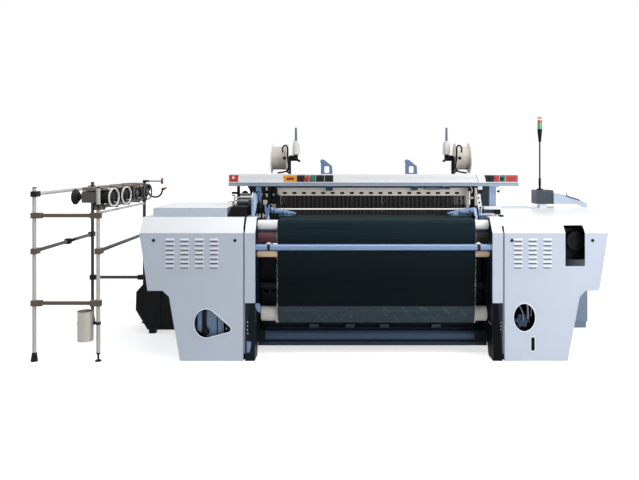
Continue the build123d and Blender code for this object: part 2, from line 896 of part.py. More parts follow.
cloth_gap = soft_gap + cloth_wall / 2
warp_gap = soft_gap + warp_wall / 2
cloth_stops = [
    (fell_y, fell_z, 0),
    (breast_y, breast_z, breast_r + cloth_gap),
    (takeup_y, takeup_z, takeup_r + cloth_gap),
    (guide_y, guide_z, guide_r + cloth_gap),
    (roll_y, roll_z, roll_r + cloth_gap),
]
save(taut_sheet(cloth_stops, cloth_wall, cloth_left_x, cloth_right_x), "cloth")
warp_stops = [
    (beam_y, beam_z, beam_yarn_r + warp_gap),
    (rest_y, rest_z, rest_r + warp_gap),
    (warp_end_y, fell_z, 0),
]
save(taut_sheet(warp_stops, warp_wall, -warp_half_x, warp_half_x), "warp_sheet")

# Drop wires: two rows of thin wires that ride on the warp, each row on its serrated bar
drop_ys = [beam_y - 240, beam_y - 180]
drop_count = 40
drop_width = 8
drop_height = 70
warp_rise = (rest_z + rest_r + warp_gap - fell_z) / (rest_y - warp_end_y)
with BuildPart() as drop_wires:
    for drop_y in drop_ys:
        warp_top_z = fell_z + (drop_y + 3 - warp_end_y) * warp_rise + warp_wall / 2 + soft_gap
        with BuildSketch(facing(drop_y - 1)):
            with Locations((0, warp_top_z + drop_height / 2)):
                with GridLocations(2 * warp_half_x / drop_count, 1, drop_count, 1):
                    Rectangle(drop_width, drop_height)
        extrude(amount=-2)
        with BuildSketch(across(-frame_inner_x)):
            with Locations((drop_y, warp_top_z + drop_height - 12)):
                Rectangle(8, 24)
        extrude(amount=2 * frame_inner_x)
    for stay_x in (-frame_inner_x, frame_inner_x - 20):
        with BuildSketch(Plane.XY.offset(frame_top_z - 40)):
            with Locations((stay_x + 10, (drop_ys[0] + drop_ys[-1]) / 2)):
                Rectangle(20, drop_ys[-1] - drop_ys[0] + 60)
        extrude(amount=130)
save(drop_wires.part, "drop_wires")

# Guard tube across the front, and its two clips
with BuildPart() as guard_tube:
    with BuildSketch(across(-frame_inner_x)):
        with Locations((guard_y, guard_z)):
            Circle(guard_r)
            Circle(guard_r - 3, mode=Mode.SUBTRACT)
    extrude(amount=2 * frame_inner_x)
save(guard_tube.part, "guard_tube")
clip_wall = 4
clip_width = 26
clip_peak = 50
with BuildPart() as guard_clips:
    for clip_x in (-guard_clip_x, guard_clip_x):
        with BuildSketch(across(clip_x - clip_width / 2)):
            with Locations((guard_y, guard_z)):
                Circle(guard_r + clip_wall)
                Circle(guard_r, mode=Mode.SUBTRACT)
        extrude(amount=clip_width)
        with BuildSketch(facing(guard_y - 3)):
            with BuildLine():
                Polyline(
                    (clip_x - 30, guard_z + guard_r + 1),
                    (clip_x, guard_z + clip_peak),
                    (clip_x + 30, guard_z + guard_r + 1),
                    (clip_x + 18, guard_z + guard_r + 1),
                    (clip_x, guard_z + clip_peak - 14),
                    (clip_x - 18, guard_z + guard_r + 1),
                    close=True,
                )
            make_face()
        extrude(amount=-6)
        with BuildSketch(facing(guard_y - 3)):
            with Locations((clip_x, guard_z + guard_r + clip_wall / 2)):
                Rectangle(62, clip_wall)
        extrude(amount=-6)
    with BuildSketch(across(-frame_inner_x)):
        with Locations((guard_y, guard_z)):
            Circle(guard_r)
    extrude(amount=2 * frame_inner_x, mode=Mode.SUBTRACT)
save(guard_clips.part, "guard_clips")

# Sley: rocking shaft, four swords and the race board, on a plane that leans back from upright
sley_plane = Plane(
    origin=(0, rock_y, rock_z),
    x_dir=(1, 0, 0),
    z_dir=(0, -cos(radians(swing_deg)), sin(radians(swing_deg))),
)


def sword_plane(x):
    # The swing plane at x: its own X runs back from the sley, its Y up along the sword
    return Plane(
        origin=(x, rock_y, rock_z),
        x_dir=(0, cos(radians(swing_deg)), -sin(radians(swing_deg))),
        z_dir=(1, 0, 0),
    )


sword_wall = 26
sword_foot = 120
sword_xs = [-sword_x, -sword_x / 3, sword_x / 3, sword_x]
race_front = 34
race_back = 42
with BuildPart() as sley:
    with BuildSketch(across(-journal_end_x)):
        with Locations((rock_y, rock_z)):
            Circle(shaft_r)
    extrude(amount=2 * journal_end_x)
    for place_x in sword_xs:
        with BuildSketch(sword_plane(place_x - sword_wall / 2)):
            with Locations((0, race_low / 2)):
                Trapezoid(sword_foot, race_low + 8, 86)
        extrude(amount=sword_wall)
    with BuildSketch(sley_plane.offset(race_front)):
        with Locations((0, (race_low + race_high) / 2)):
            Rectangle(2 * race_half_x, race_high - race_low)
    extrude(amount=-race_front - race_back)
    chamfer(sley.edges().filter_by(Axis.X).group_by(Axis.Y)[0], 14)
save(sley.part, "sley")

# Reed: baulk, cap, end bars and dents between them, standing in the race board
reed_bar = 12
reed_pitch = 2 * (reed_half_x - reed_bar) / (dent_count + 1)
reed_middle = (reed_low + reed_high) / 2
with BuildPart() as reed:
    with BuildSketch(sley_plane.offset(reed_wall / 2)):
        with Locations((0, reed_middle)):
            Rectangle(2 * reed_half_x, reed_high - reed_low)
            with GridLocations(reed_pitch, 1, dent_count, 1):
                Rectangle(reed_pitch - 2, reed_high - reed_low - 2 * reed_bar, mode=Mode.SUBTRACT)
    extrude(amount=-reed_wall)
    with BuildSketch(sley_plane.offset(reed_wall)):
        with Locations((0, reed_high - reed_bar / 2)):
            Rectangle(2 * reed_half_x, reed_bar)
    extrude(amount=-2 * reed_wall)
save(reed.part, "reed")

# Heald frames: slotted top stave, bottom stave, side stays and flat healds
heald_slot_pitch = 96
heald_slots = 19
heald_slot_left_x = -958
heald_slot_width = 41
heald_slot_height = 18
heald_height = heald_top_z - heald_bottom_z
wire_pitch = 2 * (heald_half_x - side_stay) / wire_count
for number in range(heald_count):
    front_y = heald_y + number * heald_pitch
    with BuildPart() as heald_frame:
        with BuildSketch(facing(front_y)):
            with Locations((0, (heald_top_z + heald_bottom_z) / 2)):
                Rectangle(2 * heald_half_x, heald_height)
            with Locations((0, (heald_top_z - top_stave + heald_bottom_z + bottom_stave) / 2)):
                Rectangle(
                    2 * (heald_half_x - side_stay),
                    heald_height - top_stave - bottom_stave,
                    mode=Mode.SUBTRACT,
                )
            for slot in range(heald_slots):
                with Locations((heald_slot_left_x + slot * heald_slot_pitch, heald_top_z - top_stave + 26)):
                    Rectangle(heald_slot_width, heald_slot_height, mode=Mode.SUBTRACT)
        extrude(amount=-heald_wall)
        with BuildSketch(facing(front_y + heald_wall / 2 - 1)):
            with Locations((number * wire_pitch / heald_count - wire_pitch / 3,
                            (heald_top_z - top_stave + heald_bottom_z + bottom_stave) / 2)):
                with GridLocations(wire_pitch, 1, wire_count - 1, 1):
                    Rectangle(wire_width, heald_height - top_stave - bottom_stave)
        extrude(amount=-2)
    save(heald_frame.part, "heald_frame_" + str(number + 1))

# Rapier wheels: a rimmed disc with lightening holes, its shaft and the hub disc at the front
wheel_rim = 16
wheel_hub_r = 60
wheel_web = 10
wheel_back_y = tape_y + wheel_wall / 2
wheel_front_y = tape_y - wheel_wall / 2
web_front_y = tape_y - wheel_web / 2
with BuildPart() as right_rapier_wheel:
    with BuildSketch(facing(wheel_front_y)):
        with Locations((wheel_x, wheel_z)):
            Circle(wheel_r)
            Circle(wheel_r - wheel_rim, mode=Mode.SUBTRACT)
            Circle(wheel_hub_r)
    extrude(amount=-wheel_wall)
    with BuildSketch(facing(web_front_y)):
        with Locations((wheel_x, wheel_z)):
            Circle(wheel_r - wheel_rim)
            with PolarLocations((wheel_r + wheel_hub_r) / 2, 6):
                Circle(34, mode=Mode.SUBTRACT)
    extrude(amount=-wheel_web)
    with BuildSketch(facing(hub_front_y)):
        with Locations((wheel_x, wheel_z)):
            Circle(hub_r)
    extrude(amount=-hub_wall)
    chamfer(right_rapier_wheel.faces().sort_by(Axis.Y)[0].edges(), 5)
    with BuildSketch(facing(hub_front_y)):
        with Locations((wheel_x, wheel_z)):
            Circle(hub_r - 22)
            Circle(38, mode=Mode.SUBTRACT)
    extrude(amount=-8, mode=Mode.SUBTRACT)
    with BuildSketch(facing(hub_front_y + hub_wall)):
        with Locations((wheel_x, wheel_z)):
            Circle(wheel_shaft_r)
    extrude(amount=hub_front_y + hub_wall - wheel_back_y)
save(right_rapier_wheel.part, "right_rapier_wheel")
save(mirrored(right_rapier_wheel.part), "left_rapier_wheel")

# Rapier tapes: from the wheel's outer side over its top and straight to the rapier head
tape_mid_r = wheel_r + soft_gap + tape_wall / 2
tape_wrap_deg = 80
tape_end_x = wheel_x + tape_mid_r * sin(radians(tape_wrap_deg))
tape_end_z = wheel_z + tape_mid_r * cos(radians(tape_wrap_deg))
tape_half_deg = tape_wrap_deg / 2
head_rear_x = head_tip_x + head_length
with BuildPart() as right_rapier_tape:
    with BuildSketch(facing(tape_y - tape_width / 2)):
        with BuildLine():
            Line((head_rear_x, wheel_z + tape_mid_r), (wheel_x, wheel_z + tape_mid_r))
            ThreePointArc(
                (wheel_x, wheel_z + tape_mid_r),
                (
                    wheel_x + tape_mid_r * sin(radians(tape_half_deg)),
                    wheel_z + tape_mid_r * cos(radians(tape_half_deg)),
                ),
                (tape_end_x, tape_end_z),
            )
        trace(line_width=tape_wall)
    extrude(amount=-tape_width)
save(right_rapier_tape.part, "right_rapier_tape")
save(mirrored(right_rapier_tape.part), "left_rapier_tape")

# Rapier heads: a tapered shell with a thread slot; the right one takes the weft, the left one gives it
head_mid_z = wheel_z + tape_mid_r
with BuildPart() as right_rapier_head:
    with BuildSketch(across(head_tip_x + head_length / 2)):
        with Locations((tape_y, head_mid_z)):
            RectangleRounded(head_width, head_height, 6)
    extrude(amount=head_length / 2)
    with BuildSketch(across(head_tip_x + head_length / 2)):
        with Locations((tape_y, head_mid_z)):
            RectangleRounded(head_width, head_height, 6)
    with BuildSketch(across(head_tip_x)):
        with Locations((tape_y - head_width / 4, head_mid_z - head_height / 4)):
            RectangleRounded(head_width / 3, head_height / 3, 2)
    loft()
    with BuildSketch(facing(tape_y - head_width)):
        with Locations((head_tip_x + head_length / 2, head_mid_z + 4)):
            SlotOverall(head_length / 2, 7)
    extrude(amount=-head_width * 1.4, mode=Mode.SUBTRACT)
save(right_rapier_head.part, "right_rapier_head")
save(mirrored(right_rapier_head.part), "left_rapier_head")

# Rapier guides: a black tunnel box on each side frame with a white tray on top
tunnel_play = 5
guide_floor_z = head_mid_z - head_height / 2 - tunnel_play
guide_roof_z = 1349
guide_front_y = tape_y - 34
guide_depth = 76
with BuildPart() as right_guide:
    with BuildSketch(across(guide_box_x)):
        with Locations((tape_y + 4, (guide_roof_z + frame_top_z) / 2)):
            RectangleRounded(guide_depth, guide_roof_z - frame_top_z, 5)
        with Locations((tape_y, head_mid_z)):
            Rectangle(head_width + 2 * tunnel_play, head_height + 2 * tunnel_play, mode=Mode.SUBTRACT)
        with Locations((guide_front_y, head_mid_z + 6)):
            Rectangle(40, head_height - 8, mode=Mode.SUBTRACT)
    extrude(amount=frame_outer_x - guide_box_x)
    with BuildSketch(across(frame_outer_x)):
        with Locations((tape_y + 4, (guide_roof_z + deck_z + 2) / 2)):
            RectangleRounded(guide_depth, guide_roof_z - deck_z - 2, 5)
    extrude(amount=guide_box_x + guide_box_length - frame_outer_x)
    with BuildSketch(Plane.XY.offset(guide_roof_z)):
        with Locations((guide_box_x + guide_box_length / 2, tape_y - 10)):
            RectangleRounded(guide_box_length + 6, guide_depth + 16, 6)
    extrude(amount=25)
    with BuildSketch(Plane.XY.offset(guide_roof_z + 6)):
        with Locations((guide_box_x + guide_box_length / 2, tape_y - 10)):
            RectangleRounded(guide_box_length - 6, guide_depth + 4, 3)
    extrude(amount=25, mode=Mode.SUBTRACT)
with BuildPart() as rapier_guides:
    add(right_guide.part)
    add(mirrored(right_guide.part))
save(rapier_guides.part, "rapier_guides")

# Temples: a tapered cast cover over the spiked rings at each cloth edge, on an arm from the breast beam
temple_y = 392
temple_z = 1318
temple_r = 27
temple_outer_x = 986
temple_inner_x = 740
temple_stem_x = 1010
with BuildPart() as right_temple:
    with BuildSketch(across(temple_inner_x)):
        with Locations((temple_y, temple_z - 8)):
            Circle(temple_r * 0.45)
    with BuildSketch(across(temple_inner_x + 110)):
        with Locations((temple_y, temple_z)):
            Ellipse(temple_r * 0.95, temple_r * 0.9)
    with BuildSketch(across(temple_outer_x)):
        with Locations((temple_y, temple_z + 12)):
            Ellipse(temple_r, temple_r * 1.5)
    loft()
    with BuildSketch(across(temple_outer_x)):
        with BuildLine():
            Polyline(
                (temple_y - 24, temple_z + 44),
                (temple_y + 16, temple_z + 50),
                (temple_y + 16, temple_z - 20),
                (breast_beam_y + breast_beam_depth - 6, breast_beam_z + breast_beam_height + 24),
                (breast_beam_y + breast_beam_depth - 6, breast_beam_z + breast_beam_height),
                (breast_beam_y + 10, breast_beam_z + breast_beam_height),
                (breast_beam_y + 10, breast_beam_z + breast_beam_height + 30),
                close=True,
            )
        make_face()
    extrude(amount=temple_stem_x - temple_outer_x)
    with BuildSketch(across(temple_inner_x + 30)):
        with Locations((temple_y, temple_z - 24)):
            Circle(9)
    extrude(amount=temple_outer_x - temple_inner_x - 30)
with BuildPart() as temples:
    add(right_temple.part)
    add(mirrored(right_temple.part))
save(temples.part, "temples")

# Weft selector: its box on the left deck, a round drive, a spindle-shaped cover on the column and fingers
selector_x = -1270
selector_y = 590
selector_width = 157
selector_depth = 120
selector_height = 93
selector_drive_r = 34
finger_count = 4
finger_pitch = 11
column_front_gap = column_front_y - soft_gap
with BuildPart() as weft_selector:
    with BuildSketch(Plane.XY.offset(deck_z)):
        with Locations((selector_x, selector_y)):
            RectangleRounded(selector_width, selector_depth, 8)
    extrude(amount=selector_height)
    with BuildSketch(Plane.XY.offset(deck_z + selector_height)):
        with Locations((selector_x, selector_y)):
            Rectangle(60, 40)
    extrude(amount=selector_drive_r)
    with BuildSketch(across(selector_x - selector_width / 2 + 10)):
        with Locations((selector_y, deck_z + selector_height + selector_drive_r + 4)):
            Circle(selector_drive_r)
    extrude(amount=selector_width - 14)
    chamfer(weft_selector.faces().sort_by(Axis.X)[0].edges(), 4)
    for finger in range(finger_count):
        with BuildSketch(across(selector_x + selector_width / 2 - 8)):
            with Locations((selector_y - 40 + finger * finger_pitch, deck_z + selector_height)):
                Rectangle(4, 60)
        extrude(amount=18)
    with BuildSketch(facing(column_front_gap)):
        with BuildLine():
            Polyline(
                (-1148, guide_roof_z + 28),
                (-1120, guide_roof_z + 60),
                (-1124, guide_roof_z + 120),
                (-1146, guide_roof_z + 165),
                (-1164, guide_roof_z + 120),
                (-1166, guide_roof_z + 60),
                close=True,
            )
        make_face()
    extrude(amount=34)
    fillet(weft_selector.faces().sort_by(Axis.Y)[0].edges(), 6)
save(weft_selector.part, "weft_selector")

# Sign beam: a long housing with a face panel, a groove, a lip, two recessed fields and push buttons in collars
sign_fields = [(-1292, -883), (-220, 1018)]
sign_buttons = [(-692, 15), (-633, 21), (-581, 15), (-501, 15), (-417, 15), (1165, 15), (1231, 21), (1283, 15)]
sign_mid_z = 1645
field_height = 36
field_recess = 2
button_collar = 3
button_reach = 10
with BuildPart() as sign_beam:
    with BuildSketch(across(sign_left_x)):
        with BuildLine():
            Polyline(
                (sign_y, sign_high_z),
                (sign_y, sign_low_z + 34),
                (sign_y + 7, sign_low_z + 31),
                (sign_y + 7, sign_low_z + 26),
                (sign_y + 2, sign_low_z + 24),
                (sign_y + 8, sign_low_z),
                (sign_y + sign_depth, sign_low_z),
                (sign_y + sign_depth, sign_high_z - 20),
                (sign_y + sign_depth - 20, sign_high_z),
                close=True,
            )
        make_face()
    extrude(amount=sign_right_x - sign_left_x)
    with BuildSketch(facing(sign_y)):
        for field_left, field_right in sign_fields:
            with Locations(((field_left + field_right) / 2, sign_mid_z)):
                Rectangle(field_right - field_left, field_height)
    extrude(amount=-field_recess, mode=Mode.SUBTRACT)
    for button_x, button_r in sign_buttons:
        with BuildSketch(facing(sign_y)):
            with Locations((button_x, sign_mid_z)):
                Circle(button_r + button_collar)
        extrude(amount=button_collar)
        with BuildSketch(facing(sign_y - button_collar)):
            with Locations((button_x, sign_mid_z)):
                Circle(button_r)
        extrude(amount=button_reach)
    chamfer(sign_beam.faces().sort_by(Axis.Y)[:len(sign_buttons)].edges(), button_collar)
save(sign_beam.part, "sign_beam")

# Harness arms: blue castings on the top crossbeam, each with a round eye
arm_foot_z = gantry_top_z
with BuildPart() as harness_arms:
    for arm_x in (-509, 376):
        with BuildSketch(facing(rear_column_y + 10)):
            with BuildLine():
                Polyline(
                    (arm_x, arm_foot_z),
                    (arm_x, arm_foot_z + 146),
                    (arm_x + 40, arm_foot_z + 160),
                    (arm_x + 118, arm_foot_z + 96),
                    (arm_x + 124, arm_foot_z),
                    close=True,
                )
            make_face()
            with Locations((arm_x + 16, arm_foot_z + 145)):
                Circle(22)
            with Locations((arm_x + 62, arm_foot_z + 60)):
                RectangleRounded(52, 70, 12, mode=Mode.SUBTRACT)
        extrude(amount=-50)
        with BuildSketch(facing(rear_column_y + 6)):
            with Locations((arm_x + 16, arm_foot_z + 145)):
                Circle(13)
        extrude(amount=-58)
save(harness_arms.part, "harness_arms")

# Selvedge reels and the brackets that carry them
reel_y = rear_column_y + column_depth / 2
reel_z = gantry_top_z + 180
reel_r = 158
reel_axle_r = 9
reels = [("left_reel", -1023, -855, 1), ("right_reel", 893, 1045, -1)]
reel_hub_r = 28
reel_yarn_r = 120
reel_wall = 8
for reel_name, reel_left_x, reel_right_x, arm_side in reels:
    with BuildPart() as reel:
        with BuildSketch(across(reel_left_x)):
            with Locations((reel_y, reel_z)):
                Circle(reel_yarn_r)
        extrude(amount=reel_right_x - reel_left_x)
        for flange_x in (reel_left_x, reel_right_x - reel_wall):
            with BuildSketch(across(flange_x)):
                with Locations((reel_y, reel_z)):
                    Circle(reel_r)
            extrude(amount=reel_wall)
        with BuildSketch(across(reel_left_x)):
            with Locations((reel_y, reel_z)):
                Circle(reel_axle_r + journal_play)
        extrude(amount=reel_right_x - reel_left_x, mode=Mode.SUBTRACT)
    save(reel.part, reel_name)
arm_gap = 6
arm_wall = 26
tube_reach = 66
tube_clamp = 20
with BuildPart() as reel_arms:
    for reel_name, reel_left_x, reel_right_x, arm_side in reels:
        inner_x = reel_right_x if arm_side > 0 else reel_left_x
        stem_x = inner_x + arm_side * (arm_gap + arm_wall / 2)
        with BuildSketch(across(stem_x - arm_wall / 2)):
            with BuildLine():
                Polyline(
                    (reel_y - 30, gantry_top_z),
                    (reel_y - 22, reel_z + 20),
                    (reel_y + 22, reel_z + 20),
                    (reel_y + 30, gantry_top_z),
                    close=True,
                )
            make_face()
            with Locations((reel_y, gantry_top_z + 80)):
                SlotOverall(90, 24, rotation=90, mode=Mode.SUBTRACT)
        extrude(amount=arm_wall)
        axle_low_x = min(stem_x, stem_x - arm_side * (reel_right_x - reel_left_x + arm_gap + arm_wall / 2 + 6))
        with BuildSketch(across(axle_low_x)):
            with Locations((reel_y, reel_z)):
                Circle(reel_axle_r)
        extrude(amount=reel_right_x - reel_left_x + arm_gap + arm_wall / 2 + 6)
        tube_x = stem_x + arm_side * tube_reach
        with BuildSketch(across(min(stem_x, tube_x - tube_clamp))):
            with Locations((reel_y, reel_z)):
                RectangleRounded(40, 60, 6)
        extrude(amount=tube_reach + tube_clamp)
        with BuildSketch(Plane.XY.offset(reel_z + 30)):
            with Locations((tube_x, reel_y)):
                Circle(24)
        with BuildSketch(Plane.XY.offset(reel_z + 190)):
            with Locations((tube_x, reel_y)):
                Circle(15)
        loft()
        with BuildSketch(Plane.XY.offset(reel_z + 190)):
            with Locations((tube_x, reel_y)):
                Circle(10)
        extrude(amount=130)
save(reel_arms.part, "reel_arms")

# Control cabinet under the right deck, on a plinth, with a door panel and its hinges
cabinet_width = 550
cabinet_margin = 10
cabinet_right_x = right_deck_rear_x - cabinet_margin
cabinet_x = cabinet_right_x - cabinet_width / 2
cabinet_y = right_deck_flare_y
cabinet_depth = deck_depth - 4 * cabinet_margin - cabinet_y
plinth_height = 69
plinth_inset = 12
cabinet_height = deck_z - cover_sheet - plinth_height
cabinet_mid_y = cabinet_y + cabinet_depth / 2
door_margin = 24
with BuildPart() as control_cabinet:
    with BuildSketch(Plane.XY):
        with Locations((cabinet_x, cabinet_mid_y)):
            Rectangle(cabinet_width - 2 * plinth_inset, cabinet_depth - 2 * plinth_inset)
    extrude(amount=plinth_height)
    with BuildSketch(Plane.XY.offset(plinth_height)):
        with Locations((cabinet_x, cabinet_mid_y)):
            Rectangle(cabinet_width, cabinet_depth)
    extrude(amount=cabinet_height)
    with BuildSketch(across(cabinet_right_x)):
        with Locations((cabinet_mid_y, plinth_height + cabinet_height / 2)):
            Rectangle(cabinet_depth - door_margin, cabinet_height - 3 * door_margin)
            Rectangle(cabinet_depth - door_margin - 8, cabinet_height - 3 * door_margin - 8, mode=Mode.SUBTRACT)
    extrude(amount=-4, mode=Mode.SUBTRACT)
    for lift in (-1, 1):
        with BuildSketch(Plane.XY.offset(plinth_height + cabinet_height / 2 + lift * cabinet_height / 4 - 30)):
            with Locations((cabinet_right_x, cabinet_y + cabinet_depth - door_margin / 2 - 2)):
                Circle(7)
        extrude(amount=60)
save(control_cabinet.part, "control_cabinet")

# Operator terminal on the right deck: the dark screen box on a pedestal, running out as a wedge to the right
terminal_left_x = 1847
terminal_box_x = 2041
terminal_right_x = right_deck_rear_x - 8
terminal_y = right_deck_flare_y + 65
terminal_depth = 174
terminal_low_z = 1345
terminal_high_z = 1499
screen_rim = 16
with BuildPart() as operator_terminal:
    with BuildSketch(facing(terminal_y)):
        with BuildLine():
            Polyline(
                (terminal_left_x, terminal_low_z),
                (terminal_left_x, terminal_high_z),
                (terminal_box_x, terminal_high_z),
                (terminal_box_x, terminal_low_z),
                close=True,
            )
        make_face()
    extrude(amount=-terminal_depth)
    fillet(operator_terminal.edges().filter_by(Axis.Y), 8)
    with BuildSketch(facing(terminal_y + 10)):
        with BuildLine():
            Polyline(
                (terminal_box_x - 20, terminal_low_z),
                (terminal_box_x - 20, terminal_high_z - 25),
                (terminal_box_x + 136, terminal_high_z - 55),
                (terminal_right_x - 76, terminal_high_z - 95),
                (terminal_right_x, terminal_high_z - 143),
                (terminal_right_x, deck_z + 5),
                close=True,
            )
        make_face()
    extrude(amount=20 - terminal_depth)
    with BuildSketch(facing(terminal_y)):
        with Locations(((terminal_left_x + terminal_box_x) / 2, (terminal_low_z + terminal_high_z) / 2)):
            RectangleRounded(
                terminal_box_x - terminal_left_x - 2 * screen_rim,
                terminal_high_z - terminal_low_z - 2 * screen_rim,
                6,
            )
    extrude(amount=-3, mode=Mode.SUBTRACT)
    with BuildSketch(Plane.XY.offset(deck_z)):
        with Locations(((terminal_left_x + terminal_box_x) / 2, terminal_y + terminal_depth / 2)):
            RectangleRounded(90, 90, 10)
    extrude(amount=terminal_low_z - deck_z)
    with BuildSketch(Plane.XY.offset(deck_z)):
        with Locations((terminal_right_x - 60, terminal_y + terminal_depth / 2)):
            RectangleRounded(80, 90, 10)
    extrude(amount=24)
save(operator_terminal.part, "operator_terminal")

# Signal lamp pole on the terminal: flange, stepped rod and tapered holder; then the lamp tiers on it
pole_x = 1912
pole_y = terminal_y + 74
pole_thick_top_z = 1629
holder_low_z = 2031
lamp_low_z = 2174
lamp_tiers = [(lamp_low_z, 68, 25), (2242.3, 30, 25), (2272.6, 20, 18), (2292.9, 15, 25)]
with BuildPart() as lamp_pole:
    with BuildSketch(Plane.XY.offset(terminal_high_z)):
        with Locations((pole_x, pole_y)):
            Circle(34)
    extrude(amount=14)
    with BuildSketch(Plane.XY.offset(terminal_high_z + 14)):
        with Locations((pole_x, pole_y)):
            Circle(13)
    extrude(amount=pole_thick_top_z - terminal_high_z - 14)
    with BuildSketch(Plane.XY.offset(pole_thick_top_z)):
        with Locations((pole_x, pole_y)):
            Circle(8)
    extrude(amount=holder_low_z - pole_thick_top_z)
    with BuildSketch(Plane.XY.offset(holder_low_z)):
        with Locations((pole_x, pole_y)):
            Circle(14)
    with BuildSketch(Plane.XY.offset(lamp_low_z - soft_gap)):
        with Locations((pole_x, pole_y)):
            Circle(27)
    loft()
save(lamp_pole.part, "lamp_pole")
with BuildPart() as signal_lamps:
    for tier_z, tier_height, tier_r in lamp_tiers:
        with BuildSketch(Plane.XY.offset(tier_z)):
            with Locations((pole_x, pole_y)):
                Circle(tier_r)
        extrude(amount=tier_height)
save(signal_lamps.part, "signal_lamps")

# Shedding machine housing behind the left cover: a faceted case with ribs, feet and the boss for the tie tube
dobby_base_z = 44
dobby_high_z = 683
boss_r = 32
boss_x = -2424
with BuildPart() as dobby_housing:
    with BuildSketch(facing(dobby_y)):
        with BuildLine():
            Polyline(
                (-frame_outer_x, dobby_base_z + 90),
                (-frame_outer_x, dobby_high_z),
                (dobby_left_x, dobby_high_z),
                (dobby_left_x, 528),
                (dobby_left_x - 77, 443),
                (dobby_left_x - 83, 254),
                (dobby_left_x + 43, dobby_base_z),
                (-frame_outer_x - 200, dobby_base_z),
                close=True,
            )
        make_face()
    extrude(amount=-dobby_depth)
    chamfer(dobby_housing.faces().sort_by(Axis.Y)[0].edges(), 6)
    for rib_x in (-2200, -1950, -1700):
        with BuildSketch(facing(dobby_y - 8)):
            with Locations((rib_x, (dobby_high_z + dobby_base_z) / 2)):
                Rectangle(14, dobby_high_z - dobby_base_z - 60)
        extrude(amount=-12)
    for foot_x in (-2290, -1420):
        with BuildSketch(Plane.XY):
            with Locations((foot_x, dobby_y + 60), (foot_x, dobby_y + dobby_depth - 60)):
                Rectangle(70, 70)
        extrude(amount=dobby_base_z)
    with BuildSketch(across(boss_x)):
        with Locations((stand_rear_y, tie_z)):
            Circle(boss_r)
    extrude(amount=dobby_left_x - boss_x + 30)
save(dobby_housing.part, "dobby_housing")

# Main motor: a finned body on a mounting plate bolted to the left frame, with two upright blue side plates
motor_fins = 9
motor_plate_wall = 16
motor_plate_y = motor_y + motor_length
motor_side_gap = 12
with BuildPart() as main_motor:
    with BuildSketch(facing(motor_y)):
        with Locations((motor_x, motor_z)):
            Circle(motor_r)
    extrude(amount=-motor_length)
    fin_pitch = (motor_length - 60) / motor_fins
    for fin in range(motor_fins):
        with BuildSketch(facing(motor_y + 30 + fin * fin_pitch)):
            with Locations((motor_x, motor_z)):
                Circle(motor_r + 1)
                Circle(motor_r - 14, mode=Mode.SUBTRACT)
        extrude(amount=-fin_pitch / 2, mode=Mode.SUBTRACT)
    with BuildSketch(facing(motor_y)):
        with Locations((motor_x, motor_z)):
            Circle(motor_r * 0.62)
            Circle(motor_r * 0.2, mode=Mode.SUBTRACT)
    extrude(amount=-5, mode=Mode.SUBTRACT)
    with BuildSketch(facing(motor_plate_y)):
        with BuildLine():
            Polyline(
                (-frame_outer_x, motor_z - 180),
                (-frame_outer_x, motor_z + 200),
                (motor_x - motor_r - 40, motor_z + 160),
                (motor_x - motor_r - 40, motor_z - 180),
                close=True,
            )
        make_face()
    extrude(amount=-motor_plate_wall)
    for side in (-1, 1):
        with BuildSketch(facing(motor_y + 40)):
            with Locations((motor_x + side * (motor_r + motor_side_gap + 6), motor_z - 10)):
                Rectangle(12, 320)
        extrude(amount=-motor_length + 40)
    with BuildSketch(facing(motor_y + 100)):
        with Locations((teardrop_tail_x, teardrop_tail_z)):
            RegularPolygon(14, 6)
    extrude(amount=-motor_length + 100)
save(main_motor.part, "main_motor")

# Feeder stand: four posts, three tubes across, four tubes from front to rear and the tie to the loom
foot_height = 80
top_rail_z = post_top_z - post_r
cross_tubes = [(0, rail_high_z), (0, rail_low_z), (stand_rear_y, tie_z)]
deep_tubes = [
    (stand_left_x, mid_rail_z),
    (stand_right_x, mid_rail_z),
    (stand_left_x, top_rail_z - post_r - 20),
    (stand_right_x, feeder_rail_z),
]
tube_seat = post_r + soft_gap
with BuildPart() as stand_tubes:
    with BuildSketch(Plane.XY.offset(foot_height)):
        with Locations(
            (stand_left_x, 0),
            (stand_right_x, 0),
            (stand_left_x, stand_rear_y),
            (stand_right_x, stand_rear_y),
        ):
            Circle(post_r)
    extrude(amount=post_top_z - foot_height)
    for tube_y, tube_z in cross_tubes:
        with BuildSketch(across(stand_left_x + tube_seat)):
            with Locations((tube_y, tube_z)):
                Circle(post_r)
        extrude(amount=stand_right_x - stand_left_x - 2 * tube_seat)
    for tube_x, tube_z in deep_tubes:
        with BuildSketch(facing(tube_seat)):
            with Locations((tube_x, tube_z)):
                Circle(post_r)
        extrude(amount=2 * tube_seat - stand_rear_y)
    with BuildSketch(across(stand_right_x + tube_seat)):
        with Locations((stand_rear_y, tie_z)):
            Circle(post_r)
    extrude(amount=boss_x - stand_right_x - tube_seat)
save(stand_tubes.part, "stand_tubes")

